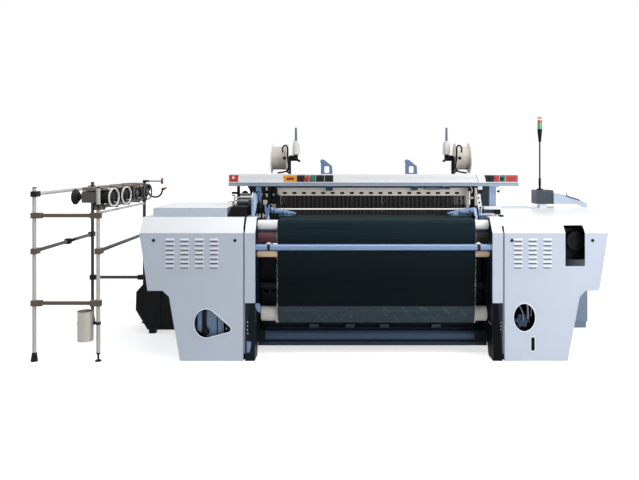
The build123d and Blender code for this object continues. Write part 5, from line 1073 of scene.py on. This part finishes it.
# Dark ovals on the stave for its slots and a dark strip behind them: painted shade where the slots look into
# the machine
slotLow, slotHigh = harness["slotBack"]
piece("slotStrip", "heald_1", [bars([(-0.985, 0.6152, slotLow)], [(0.985, 0.6170, slotHigh)])], "innerBlack",
      "black_plastic", smooth=False)
turns = np.linspace(0, 2 * np.pi, 20, endpoint=False)
slotX = harness["slotFirst"] + 0.011 * np.sign(np.cos(turns)) + 0.0115 * np.cos(turns)
slotZ = harness["slotZ"] + 0.0108 * np.sin(turns)
staveSlots = [slab(np.stack([harness["slotPitch"] * count + slotX, slotZ], -1), 0.6040, 0.6052)
              for count in range(harness["slots"])]
piece("staveSlots", "heald_1", staveSlots, "innerBlack", "black_plastic", smooth=False)
print("warp ready")


# Rapier tapes: flat bands from the heads to the wheels and round them
tape = {
    "y": (0.46, 0.48), "radius": 0.2013, "wall": 0.0018, "wheelX": 1.876, "wheelZ": 1.083, "headX": 1.18,
    "wrap": 80, "straightSteps": 60, "turnSteps": 40, "blendY": 0.47, "blendZ": 1.2843
}


def makeTape(side, sign):
    # The middle line runs level from the head to the wheel, then round it: wheel + radius * (sin t, cos t)
    steps = tape["straightSteps"]
    straight = np.linspace(tape["headX"], tape["wheelX"], steps, endpoint=False)
    turn = np.radians(np.linspace(0, tape["wrap"], tape["turnSteps"]))
    lineX = np.concatenate([straight, tape["wheelX"] + tape["radius"] * np.sin(turn)])
    lineZ = tape["wheelZ"] + np.concatenate([np.full(steps, tape["radius"]), tape["radius"] * np.cos(turn)])
    outX = np.concatenate([np.zeros(steps), np.sin(turn)])
    outZ = np.concatenate([np.ones(steps), np.cos(turn)])
    low, high = tape["y"]
    rings = [
        np.stack([
            sign * (lineX + way * outX * tape["wall"] / 2), np.full(lineX.size, y),
            lineZ + way * outZ * tape["wall"] / 2
        ], -1) for way, y in ((-1, low), (-1, high), (1, high), (1, low))
    ]
    made = quadMesh(side + "Tape", *lofted(np.stack(rings, 1)), "tapeBlack")
    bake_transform(made)
    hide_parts(side + "_rapier_tape")


for side, sign in (("left", -1), ("right", 1)):
    makeTape(side, sign)
print("tapes ready")


# Selvedge: short cut ends of yarn that stand off the edges of the cloth and the roll
selvedge = {
    "first": 0.3, "along": 0.0038, "reach": (0.003, 0.013), "thick": 0.0009, "inset": 0.002, "roundRoll": 230,
    "rollRadius": (0.079, 0.0845), "rollReach": (0.005, 0.024), "rollThick": (0.0014, 0.0036),
    "rollInset": 0.004
}


def fringe(edge, side, inset, reach, y, z, halfY, low, high):
    # Short bars from just inside an edge to their reach outside it
    first, last = edge - side * inset, edge + side * reach
    return bars(np.stack([np.minimum(first, last), y - halfY, z + low], -1),
                np.stack([np.maximum(first, last), y + halfY, z + high], -1))


def makeFringe():
    rng = np.random.default_rng(21)
    along = alongLength(clothPath)
    spots = np.arange(selvedge["first"], along[-1] - 0.01, selvedge["along"])
    edges = ((cloth["left"], -1), (cloth["right"], 1))
    parts = []
    for edge, side in edges:
        keep = spots[(rng.random(spots.size) < 0.55 + 0.4 * np.sin(spots * 9) ** 2)]
        y, z = np.interp(keep, along, clothPath[:, 0]), np.interp(keep, along, clothPath[:, 1])
        reach = rng.uniform(*selvedge["reach"], keep.size)
        tilt = rng.uniform(-0.002, 0.002, keep.size)
        parts.append(fringe(edge, side, selvedge["inset"], reach, y, z, 0.0005, tilt, tilt + selvedge["thick"]))
    piece("clothSelvedge", "machine", parts, "selvedge", "yarn", smooth=False)
    parts = []
    for edge, side in edges:
        angle = rng.uniform(0, 2 * np.pi, selvedge["roundRoll"])
        radius = rng.uniform(*selvedge["rollRadius"], angle.size)
        y, z = roll["y"] + radius * np.cos(angle), roll["z"] + radius * np.sin(angle)
        reach = rng.uniform(*selvedge["rollReach"], angle.size)
        half = rng.uniform(*selvedge["rollThick"], angle.size) / 2
        parts.append(fringe(edge, side, selvedge["rollInset"], reach, y, z, half, -half, half))
    piece("rollSelvedge", "cloth_beam", parts, "selvedge", "yarn", smooth=False)


makeFringe()
dress("cloth", "clothWeave")
dress("cloth_roll", "rollLitWeave")
dress("warp_yarn", "warpYarn")
dress("warp_sheet", "warpYarn")
dress("left_rapier_tape", "tapeBlack")
dress("right_rapier_tape", "tapeBlack")
print("cloth and warp ready")


# Sign beam plates: plain colour fields with slanting ends, and plain marks
sign = {"face": 0.47, "wall": 0.0016, "top": 175.0, "bottom": 181.8, "plates": [
    ("signRed", "plateRed", [
        (229.3, 238.3, 0.0, 0.7), (305.1, 309.2, 0.8, 0.8), (494.7, 499.3, 0.8, 0.8), (505.9, 517.9, 0.8, 0.0)
    ]),
    ("signAmber", "plateAmber", [(283.4, 296.7, -1.3, 0.0)]),
    ("signBlack", "plateBlack", [
        (296.9, 304.8, 0.0, 0.8), (316.0, 324.3, 0.6, 0.0), (324.7, 333.3, 0.0, 0.0), (485.3, 494.4, -1.6, 0.8)
    ]),
    ("signGreen", "plateGreen", [(309.6, 315.6, 0.8, 0.6), (499.7, 505.5, 0.8, 0.8)])
]}


def signPlate(left, right, slantLeft, slantRight, top=sign["top"], bottom=sign["bottom"], lift=0.0):
    corners = [(left + slantLeft / 2, top), (right + slantRight / 2, top), (right - slantRight / 2, bottom),
               (left - slantLeft / 2, bottom)]
    return seenSlab(corners, sign["face"] - sign["wall"] - lift, sign["face"] + 0.001)


for name, finish, plates in sign["plates"]:
    piece(name, "machine", [signPlate(*plate) for plate in plates], finish, "white_paint", smooth=False)
piece("signMarks", "machine", [
    signPlate(286.6, 294.0, 0.6, 0.6, 177.4, 179.8, 0.0006),
    signPlate(508.5, 515.2, 0.6, 0.6, 177.7, 178.7, 0.0006),
    signPlate(508.2, 514.6, 0.6, 0.6, 179.5, 180.3, 0.0006)
], "darkRed", "white_paint", smooth=False)
dot = spot(233.4, 177.6, sign["face"])
piece("signDot", "machine", [
    turned(dot, (0, -1, 0), [(0, 0.013), (0.0026, 0.013), (0.0034, 0.01)], 20)
], "reelWhite", "white_paint")
joint = [(475.6, 174.8), (476.1, 174.8), (479.0, 181.9), (478.5, 181.9)]
piece("signJoint", "machine", [seenSlab(joint, 0.4694, 0.4705)], "greyMetal", "white_paint", smooth=False)
print("sign beam ready")


# Painted shade, dark sheets inside: behind the cloth roll, between frames and cloth edges, behind the cover
# holes
inner = {
    "innerNavy": [
        ((-1.07, 0.4085, 0.1), (1.07, 0.4105, 0.545)), ((-1.0835, 0.53, 0.1), (-0.925, 0.532, 0.935)),
        ((0.925, 0.53, 0.1), (1.0835, 0.532, 0.935))
    ],
    "innerBlack": [
        ((-1.75, 0.452, 0.004), (-1.173, 0.454, 0.64)), ((1.173, 0.52, 0.004), (1.75, 0.522, 0.86)),
        # These sheets by the heald frame ends and the bar under the sign beam are painted shade as well
        ((1.415, 0.012, 0.08), (1.48, 0.014, 0.235)), ((-1.08, 0.597, 1.3), (-0.996, 0.603, 1.56)),
        ((0.996, 0.597, 1.3), (1.062, 0.603, 1.56)), ((-1.08, 0.5975, 1.553), (1.08, 0.6035, 1.59))
    ]
}
for finish, sheets in inner.items():
    piece(
        finish + "Sheets", "machine", [bars([low for low, high in sheets], [high for low, high in sheets])],
        finish, "navy_paint", smooth=False
    )
print("inner sheets ready")


# Selvedge side on the left: selector housing, cutter cover, posts and brackets round the gantry column
leftBlack = [
    bars([(-1.32, 0.15, 1.299)], [(-1.18, 0.405, 1.392)]),
    # The dark wedge at the right end of the left top box is painted shadow from the housing beside it
    seenSlab([(231.6, 207.0), (231.6, 216.4), (227.8, 216.4), (229.6, 212.0)], 0.145, 0.3),
    seenBars([
        (237.1, 185.6, 239.8, 204.0, 0.5, 0.53), (231.7, 191.7, 237.3, 193.9, 0.502, 0.528),
        (257.7, 207.6, 262.8, 218.0, 0.372, 0.408), (267.9, 185.6, 270.8, 204.2, 0.5, 0.525),
        (261.9, 185.6, 265.7, 193.0, 0.5, 0.52), (262.6, 193.0, 265.0, 199.8, 0.5, 0.52),
        (269.0, 213.0, 278.4, 218.6, 0.33, 0.385)
    ]),
    seenSlab([(247.4, 185.7), (255.4, 185.7), (253.6, 190.5), (251.2, 195.2), (249.6, 190.0)], 0.492, 0.515),
    turned(spot(245.2, 192.6, 0.52), (0, 0, 1), [
        (-0.002, 0.03), (0.004, 0.031), (0.012, 0.024), (0.02, 0.01)
    ], 20),
    turned(spot(273.6, 194.6, 0.54), (0, -1, 0), [
        (0, 0.026), (0.004, 0.03), (0.016, 0.03), (0.02, 0.024), (0.021, 0.012), (0.028, 0.01)
    ], 24),
    turned(spot(272.9, 201.0, 0.54), (0, -1, 0), [(0, 0.018), (0.014, 0.02), (0.018, 0.014)], 20),
    seenSlab([
        (270.6, 187.2), (276.2, 187.2), (277.8, 190.5), (276.4, 193.6), (279.6, 195.0), (280.2, 203.8),
        (271.2, 203.8)
    ], 0.556, 0.57),
    seenWire([
        (263.0, 195.0), (261.9, 196.6), (263.2, 198.3), (265.3, 198.2), (266.0, 196.4), (264.9, 194.9),
        (263.0, 195.0)
    ], 0.492, 0.005, 8, 0),
    seenWire([(236.4, 196.6), (233.4, 198.2), (235.6, 200.4), (232.2, 203.0), (234.6, 206.4)], 0.3, 0.005),
    seenWire([(237.6, 199.4), (234.0, 201.2), (233.8, 204.4), (236.0, 206.2)], 0.32, 0.004),
    seenWire([(234.2, 201.8), (231.0, 201.2), (228.4, 202.0)], 0.3, 0.003),
    seenWire([(266.8, 203.8), (269.5, 206.5), (271.2, 210.5), (270.4, 216.4)], 0.345, 0.006)
]
leftGrey = [
    seenBars([
        (240.0, 193.2, 251.0, 196.0, 0.502, 0.56), (256.4, 193.0, 258.0, 203.0, 0.506, 0.522),
        (232.2, 194.6, 235.0, 196.2, 0.502, 0.52)
    ]),
    turned(spot(236.8, 201.4, 0.47), (1, 0, 0), [(0, 0.02), (0.004, 0.026), (0.118, 0.026), (0.122, 0.02)], 24),
    turned(spot(273.6, 194.6, 0.512), (0, -1, 0), [(0, 0.012), (0.004, 0.012), (0.006, 0.008)], 16),
    seenWire([(243.0, 204.4), (243.6, 206.2), (246.8, 206.6)], 0.39, 0.004, 8, 0)
]
leftWhite = [
    seenWire([(237.2, 198.4), (238.0, 197.2), (243.0, 197.0), (250.8, 197.2)], 0.468, 0.0065),
    seenBars([
        (231.9, 203.3, 236.4, 204.9, 0.29, 0.33), (265.8, 186.6, 267.6, 190.4, 0.505, 0.515),
        (265.8, 193.6, 268.0, 197.0, 0.505, 0.515), (259.0, 213.8, 260.6, 217.6, 0.3, 0.315),
        (262.7, 213.6, 263.8, 217.6, 0.3, 0.315)
    ]),
    seenSlab([(263.0, 200.0), (266.4, 199.6), (267.6, 201.2), (266.8, 204.5), (263.4, 204.3)], 0.492, 0.505)
]
leftBlue = [
    seenSlab([
        (264.6, 204.8), (266.2, 204.6), (266.9, 208.0), (268.2, 208.0), (268.6, 204.6), (270.2, 205.0),
        (269.6, 211.0), (267.8, 213.2), (267.4, 219.4), (265.6, 219.4), (265.8, 213.2), (264.8, 211.0)
    ], 0.3, 0.318),
    seenSlab([(255.0, 216.8), (256.2, 213.8), (257.8, 213.8), (257.0, 216.8)], 0.19, 0.215),
    seenSlab([
        (257.0, 192.0), (260.6, 191.6), (261.4, 196.0), (260.6, 202.8), (258.8, 199.0), (258.8, 195.0)
    ], 0.508, 0.522),
    seenBars([(256.0, 186.6, 261.2, 191.2, 0.494, 0.522)])
]
spindleZ = np.linspace(0, 1, 15)
spindleWide = 0.0245 * np.sin(np.pi * np.clip(spindleZ * 0.82 + 0.13, 0, 1)) ** 0.8
spindleMiddle = np.stack([
    -1.122 + 0.012 * np.sin(spindleZ * 2.4), np.full(15, 0.148), 1.2995 + 0.222 * spindleZ
], -1)
ring = np.linspace(0, 2 * np.pi, 20, endpoint=False)
cutterCover = lofted(spindleMiddle[:, None] + spindleWide[:, None, None] * np.stack(
    [np.cos(ring), 0.8 * np.sin(ring), 0 * ring], -1)[None])
piece("leftGearBlack", "machine", leftBlack, "black", "black_metal")
piece("leftGearGrey", "machine", leftGrey, "greyMetal", "steel")
piece("leftGearWhite", "machine", leftWhite, "cream", "white_paint")
piece("leftGearBlue", "machine", leftBlue, "armBlue", "blue_casting")
piece("cutterCover", "machine", [cutterCover], "paleBlue", "blue_casting")
print("left gear ready")


# Selvedge side on the right: post, holed plate, rod, tray front and knobs
plateFront = 0.392
rightWhite = [seenSlab(
    [
        (477.4, 194.2), (480.4, 193.8), (480.8, 199.0), (482.0, 204.0), (482.0, 213.0), (483.0, 218.4),
        (479.6, 218.4), (478.6, 210.0), (477.2, 203.0)
    ],
    plateFront, plateFront + 0.006
), seenBars([(477.8, 186.0, 482.4, 189.6, 0.494, 0.522), (482.4, 213.3, 494.6, 214.9, 0.418, 0.438)])]
holes = [(478.6, 197.8, 0.009), (479.3, 202.5, 0.009), (480.4, 207.5, 0.009), (480.9, 211.6, 0.006)]
rightBlack = [turned(spot(px, py, plateFront), (0, -1, 0), [(-0.001, r), (0.0015, r), (0.002, r * 0.8)], 14)
              for px, py, r in holes]
rightBlack += [
    turned(spot(480.2, 191.6, 0.522), (0, -1, 0), [
        (0, 0.02), (0.02, 0.021), (0.028, 0.016), (0.03, 0.006)
    ], 20),
    seenBars([
        (470.4, 185.6, 474.0, 196.8, 0.5, 0.52), (494.7, 209.4, 499.7, 215.2, 0.414, 0.437),
        (499.6, 215.0, 503.7, 216.6, 0.125, 0.18), (468.4, 185.6, 470.2, 191.0, 0.505, 0.52)
    ]),
    turned(spot(496.9, 191.2, 0.56), (1, 0, 0), [
        (0, 0.006), (0.01, 0.007), (0.011, 0.014), (0.024, 0.014), (0.026, 0.01)
    ], 18),
    seenWire([(499.0, 190.6), (500.4, 189.4), (501.6, 186.9)], 0.556, 0.0028),
    seenWire([(471.0, 212.4), (473.0, 214.6), (475.4, 217.6)], 0.32, 0.008),
    bars([(0.955, 0.33, 1.231)], [(1.0, 0.385, 1.292)])
]
rightCream = [
    turned(spot(475.7, 205.6, 0.48), (0, 0, 1), [(0, 0.012), (0.176, 0.012)], 16),
    seenBars([(469.0, 196.6, 474.0, 198.8, 0.496, 0.52), (453.6, 213.0, 458.4, 214.2, 0.36, 0.372)]),
    seenWire([(470.0, 186.6), (472.6, 189.4), (471.4, 193.2)], 0.498, 0.005)
]
rightBlue = [bars([(1.042, 0.282, 1.229)], [(1.088, 0.368, 1.3)]), seenSlab(
    [(479.0, 208.6), (481.2, 208.6), (481.2, 213.4), (479.4, 213.4)], plateFront - 0.003, plateFront
)]
piece("rightGearWhite", "machine", rightWhite, "white", "white_paint")
piece("rightGearBlack", "machine", rightBlack, "black", "black_metal")
piece("rightGearCream", "machine", rightCream, "cream", "core")
piece("rightGearBlue", "machine", rightBlue, "armBlue", "blue_casting")
piece("beamHangers", "machine",
      [seenBars([(326.0, 185.2, 332.8, 190.6, 0.556, 0.590), (411.9, 185.2, 417.9, 190.2, 0.556, 0.590),
                 (444.8, 185.2, 450.0, 189.0, 0.556, 0.590)])], "navy", "navy_paint", smooth=False)
piece("beamHandle", "machine", [
    seenWire([(422.6, 185.4), (422.8, 188.8), (444.0, 188.8), (444.4, 185.4)], 0.562, 0.006)
], "greyMetal", "steel")
print("right gear ready")


# Temples: lumpy cast shells over the spiked rings, with a fork at the tip and bolts
temple = {
    "y": 0.392, "z": 1.318, "steps": 50, "most": 0.0375, "lumps": 0.03,
    "reach": [0.738, 0.752, 0.77, 0.8, 0.835, 0.85, 0.868, 0.9, 0.935, 0.955, 0.985],
    "radii": [0.01, 0.016, 0.019, 0.021, 0.026, 0.033, 0.029, 0.031, 0.037, 0.033, 0.038],
    "rise": [-0.006, -0.008, -0.006, -0.002, 0.002, 0.004, 0.003, 0.006, 0.01, 0.012, 0.014]
}


def makeTemple(side, sign):
    reach, rise = np.array(temple["reach"]), np.array(temple["rise"])
    path = np.stack([sign * reach, np.full(reach.size, temple["y"]), temple["z"] + rise], -1)
    fine, coarse = np.linspace(0, 1, temple["steps"]), np.linspace(0, 1, reach.size)
    path = np.stack([np.interp(fine, coarse, path[:, k]) for k in range(3)], -1)
    radii = np.minimum(np.interp(fine, coarse, temple["radii"]), temple["most"])
    shell = tube(path, radii * (1 + temple["lumps"] * np.sin(np.linspace(0, 40, fine.size))), 16)
    prongs = [slab(
        [(sign * 0.747, 1.318), (sign * 0.733, 1.324), (sign * 0.731, 1.316), (sign * 0.741, 1.306)], 0.38,
        0.404
    )]
    bolts = [
        turned(
            (sign * x, 0.357, temple["z"] + lift), (0, -1, 0), [(0, 0.01), (0.008, 0.01), (0.01, 0.007)], 12
        ) for x, lift in ((0.945, 0.022), (0.945, -0.004), (0.86, 0.004))
    ]
    piece(side + "TempleShell", "machine", [shell] + prongs, "armBlue", "blue_casting")
    piece(side + "TempleBolts", "machine", bolts, "darkSteel", "steel")


for side, sign in (("left", -1), ("right", 1)):
    makeTemple(side, sign)
print("temples ready")


# Covers: a dark slit below each louvre hood, painted shade; the folded rims round the holes, near white as a
# painted edge highlight; what is seen through the holes
louvres = {
    "z": 0.984, "rows": 7, "pitch": (0.1337, 0.0405), "columns": ((-1.655, 4), (1.447, 3)), "height": 0.019,
    "slit": 0.0095
}


def louvreSlitShade():
    across, down = louvres["pitch"]
    rows = louvres["rows"]
    parts = []
    for middle, columns in louvres["columns"]:
        for column, row in np.ndindex(columns, rows):
            x = middle + (column - (columns - 1) / 2) * across
            z = louvres["z"] + ((rows - 1) / 2 - row) * down - louvres["height"] / 2
            low = z - louvres["slit"]
            outline = [
                (x - 0.04, z), (x - 0.037, low + 0.002), (x - 0.033, low), (x + 0.029, low), (x + 0.036, z)
            ]
            parts.append(slab(outline, -0.0008, 0.0004))
    return parts


def holeRim(middleX, middleZ, wide, tall, tailX=None, tailZ=None, tail=0.0):
    # The outline furthest out in each direction, of an ellipse and, if there is one, a round tail
    turn = np.linspace(0, 2 * np.pi, 72)
    way = np.stack([np.cos(turn), np.sin(turn)], -1)
    reach = np.hypot(wide * way[:, 0], tall * way[:, 1])[:, None]
    edge = np.array([middleX, middleZ]) + np.array([wide ** 2, tall ** 2]) * way / reach
    if tailX is not None:
        other = np.array([tailX, tailZ]) + tail * way
        edge = np.where(((other - edge) * way).sum(1)[:, None] > 0, other, edge)
    return tube(np.stack([edge[:, 0], np.full(72, -0.0005), edge[:, 1]], -1), 0.0045, 8)


# The slits are dark plates laid on the cover under the hoods: painted shade
piece("louvreSlitShade", "machine", louvreSlitShade(), "castBlue", "cover_paint", smooth=False)
# Thin near-white tubes on the holes' folded edges: the real rim, with its brightness a painted edge highlight
piece("holeRimHighlights", "machine", [
    holeRim(-1.528, 0.343, 0.111, 0.132, -1.333, 0.291, 0.033), holeRim(1.37, 0.397, 0.1005, 0.129),
    tube([
        (1.4665, -0.0005, 0.108), (1.4665, -0.0005, 0.204), (1.461, -0.0005, 0.217), (1.447, -0.0005, 0.2235),
        (1.433, -0.0005, 0.217), (1.4275, -0.0005, 0.204), (1.4275, -0.0005, 0.108), (1.433, -0.0005, 0.095),
        (1.447, -0.0005, 0.0885), (1.461, -0.0005, 0.095), (1.4665, -0.0005, 0.108)
    ], 0.0036, 8)
], "fieldGrey", "cover_paint")
piece("windowSheets", "machine", [
    seenSlab([(197.6, 314.5), (202.0, 310.0), (202.0, 333.0), (197.6, 330.0)], 0.06, 0.064),
    seenSlab([(206.6, 308.0), (216.8, 310.0), (216.8, 336.0), (206.6, 336.0)], 0.07, 0.074),
    seenSlab([(217.9, 314.0), (223.6, 319.0), (223.6, 334.0), (217.9, 336.0)], 0.062, 0.066),
    turned(spot(226.8, 328.3, 0.05), (0, -1, 0), [(0, 0.012), (0.006, 0.012), (0.01, 0.006)], 16)
], "windowBlue", "navy_paint")
piece("windowDark", "machine", [
    seenSlab([
        (202.2, 308.0), (206.4, 308.0), (206.4, 322.0), (205.0, 324.0), (207.0, 326.0), (206.0, 337.0),
        (202.2, 337.0)
    ], 0.056, 0.06),
    turned(spot(206.0, 331.0, 0.054), (0, -1, 0), [(0, 0.034), (0.01, 0.036), (0.014, 0.03), (0.015, 0.01)], 20)
], "black", "black_metal")
piece("windowStems", "machine", [
    seenWire([(517.4, 303.0), (520.8, 308.0), (523.2, 313.5), (523.4, 320.0)], 0.03, 0.006),
    seenWire([(527.2, 301.5), (527.9, 309.0), (528.0, 318.5)], 0.034, 0.01),
    seenWire([(530.6, 304.5), (531.6, 310.0), (531.0, 316.0)], 0.036, 0.005)
], "greyMetal", "steel")
print("covers ready")


# Legs and the room beside the roll
legSpots = [
    (247.7, 322.0), (247.7, 325.8), (247.7, 329.6), (247.7, 333.4), (501.0, 322.5), (501.0, 326.0),
    (501.0, 329.5)
]
sheetSpots = [(259.5, 333.4), (271.4, 329.6), (475.3, 335.5), (475.3, 339.3)]
rivets = [turned(spot(px, py, 0.0022), (0, -1, 0), [(0, 0.0038), (0.002, 0.0038), (0.0034, 0.002)], 10)
          for px, py in legSpots]
rivets += [turned(spot(px, py, 0.4086), (0, -1, 0), [(0, 0.006), (0.004, 0.006), (0.006, 0.003)], 12)
           for px, py in sheetSpots]
piece("legRivets", "machine", rivets, "chrome", "steel")
piece("legPlates", "machine", [
    seenSlab([(246.8, 341.0), (251.2, 341.8), (250.8, 346.5), (249.4, 352.3), (246.8, 352.3)], -0.0006, 0.0022),
    seenSlab([
        (255.2, 303.4), (259.4, 303.4), (261.0, 307.0), (260.2, 313.0), (257.0, 310.4), (255.2, 306.4)
    ], 0.02, 0.032)
], "armBlue", "blue_casting")
piece("sideLevers", "machine", [
    seenWire([(263.4, 282.0), (263.0, 290.0), (266.0, 297.0), (270.0, 295.0), (270.4, 287.0)], 0.5, 0.009),
    seenWire([(264.0, 297.0), (262.0, 306.0), (264.6, 316.0)], 0.5, 0.007),
    seenWire([(488.8, 321.0), (491.6, 324.6), (495.2, 327.4)], 0.06, 0.006)
], "darkSteel", "steel")
piece("sideBlock", "machine", [seenBars([(270.2, 296.0, 273.2, 298.6, 0.498, 0.530)])], "cream", "white_paint")
print("legs ready")


# Reels: black looped arms before them, cones and sleeves on the rods
reelParts, coneParts, sleeveParts = [], [], []
for side, sign, stem, rod in (("left", -1, -0.836, -0.770), ("right", 1, 0.874, 0.808)):
    loop = [
        (0.056, 1.905), (0.062, 1.955), (0.034, 1.985), (0.008, 1.965), (0.01, 1.9), (0.004, 1.82),
        (-0.006, 1.76), (0.014, 1.712), (0.11, 1.698)
    ]
    reelParts.append(tube(rounded([(stem + sign * x, 0.718, z) for x, z in loop]), 0.0085, 10))
    reelParts.append(tube([(stem + sign * 0.012, 0.722, 1.716), (stem, 0.868, 1.716)], 0.009, 10))
    reelParts.append(turned(
        (stem + sign * 0.04, 0.727, 1.85), (0, -1, 0), [(0, 0.015), (0.012, 0.017), (0.016, 0.01)], 16
    ))
    reelParts.append(tube(
        rounded([
            (rod, 0.86, 1.876), (rod + sign * 0.04, 0.845, 1.862), (rod - sign * 0.018, 0.84, 1.832),
            (rod - sign * 0.046, 0.835, 1.816)
        ]),
        0.012, 10
    ))
    coneParts.append(turned(
        (rod, 0.895, 1.886), (0, 0, 1),
        [(0, 0.03), (0.005, 0.039), (0.098, 0.037), (0.14, 0.026), (0.146, 0.013)], 28
    ))
    sleeveParts.append(turned(
        (rod, 0.895, 2.034), (0, 0, 1), [(0, 0.011), (0.004, 0.013), (0.118, 0.012), (0.132, 0.0125)], 16
    ))
piece("reelLoops", "machine", reelParts, "black", "black_metal")
piece("reelCones", "machine", coneParts, "reelTube", "reel")
piece("reelSleeves", "machine", sleeveParts, "greyMetal", "steel")
print("reels ready")


# Feeders: top shells, the rail below them, the bracket and the knobs at the far post
shells = []
shellSections = [
    (-0.185, 0.036, 1.552, 1.562), (-0.175, 0.05, 1.545, 1.578), (-0.05, 0.052, 1.548, 1.584),
    (0.045, 0.05, 1.552, 1.58), (0.06, 0.036, 1.556, 1.568)
]
axisWay = np.array([math.cos(feeder["turn"]), math.sin(feeder["turn"]), 0])
sideWay = np.array([-math.sin(feeder["turn"]), math.cos(feeder["turn"]), 0])
for number in range(feeder["count"]):
    foot = np.array([feeder["x"], feeder["firstY"] + number * feeder["pitch"], 0])
    rings = []
    for along, half, low, high in shellSections:
        rings.append([
            foot + along * axisWay + side * half * sideWay + np.array([0, 0, z]) for side, z in (
                (-1, low), (-1, high - 0.008), (-0.7, high), (0.7, high), (1, high - 0.008), (1, low)
            )
        ])
    shells.append(lofted(np.array(rings)))
piece("feederShells", "machine", shells, "feederTop", "feeder")
piece(
    "feederRail", "machine", [bars([(-2.5185, 0.02, 1.336)], [(-2.499, 1.365, 1.356)])], "reelTube",
    "stand_paint"
)
piece("postBracket", "machine", [
    seenWire([
        (144.6, 188.2), (148.0, 189.0), (149.0, 194.4), (153.4, 197.0), (158.6, 196.6), (161.8, 193.4),
        (162.6, 188.6)
    ], 1.372, 0.01, 10),
    turned(spot(148.4, 190.5, 1.372), (0, 0, 1), [(0, 0.022), (0.06, 0.026), (0.064, 0.018)], 16),
    turned(spot(162.6, 188.8, 1.372), (1, 0, 0), [(-0.01, 0.012), (0.022, 0.013)], 14)
], "black", "black_metal")
piece("postKnobs", "machine", [
    turned(spot(164.6, 187.9, 1.372), (1, 0, 0), [
        (0, 0.01), (0.004, 0.015), (0.018, 0.015), (0.024, 0.008)
    ], 16),
    turned(spot(137.7, 187.6, 0.98), (0, 0, 1), [
        (0, 0.008), (0.006, 0.015), (0.022, 0.015), (0.028, 0.007)
    ], 16)
], "orange", "feeder")
print("feeders ready")


# Terminal cheek with its dark edge strip, and a thin pale blue panel over the rear of the right deck, its
# colour painted shade
piece("terminalCheek", "machine", [
    seenSlab([
        (553.9, 193.2), (556.5, 193.2), (561.5, 194.6), (567.0, 197.2), (579.0, 200.2), (587.0, 203.2),
        (587.0, 207.4), (583.0, 207.2), (577.4, 203.9), (553.9, 203.6)
    ], 1.212, 1.2255)
], "wedge", "cover_paint")
# The strip of deck below the cheek takes the near-white painted light of the cover tops
piece("terminalSkirt", "machine", [
    seenSlab([
        (553.9, 203.6), (577.4, 203.9), (583.0, 207.2), (586.6, 207.4), (586.6, 208.1), (553.9, 208.1)
    ], 1.214, 1.2255)
], "coverTop", "cover_paint")
piece("terminalStrip", "machine", [
    seenWire([(566.3, 192.4), (566.6, 194.8), (569.0, 196.8), (574.0, 198.2), (579.6, 200.0)], 1.21, 0.0045)
], "blackMatt", "black_plastic")
piece(
    "rearDeckPanel", "machine", [bars([(1.176, 1.19, 1.2995)], [(1.836, 1.597, 1.3012)])], "shadeBlue",
    "cover_paint", smooth=False
)
print("terminal ready")
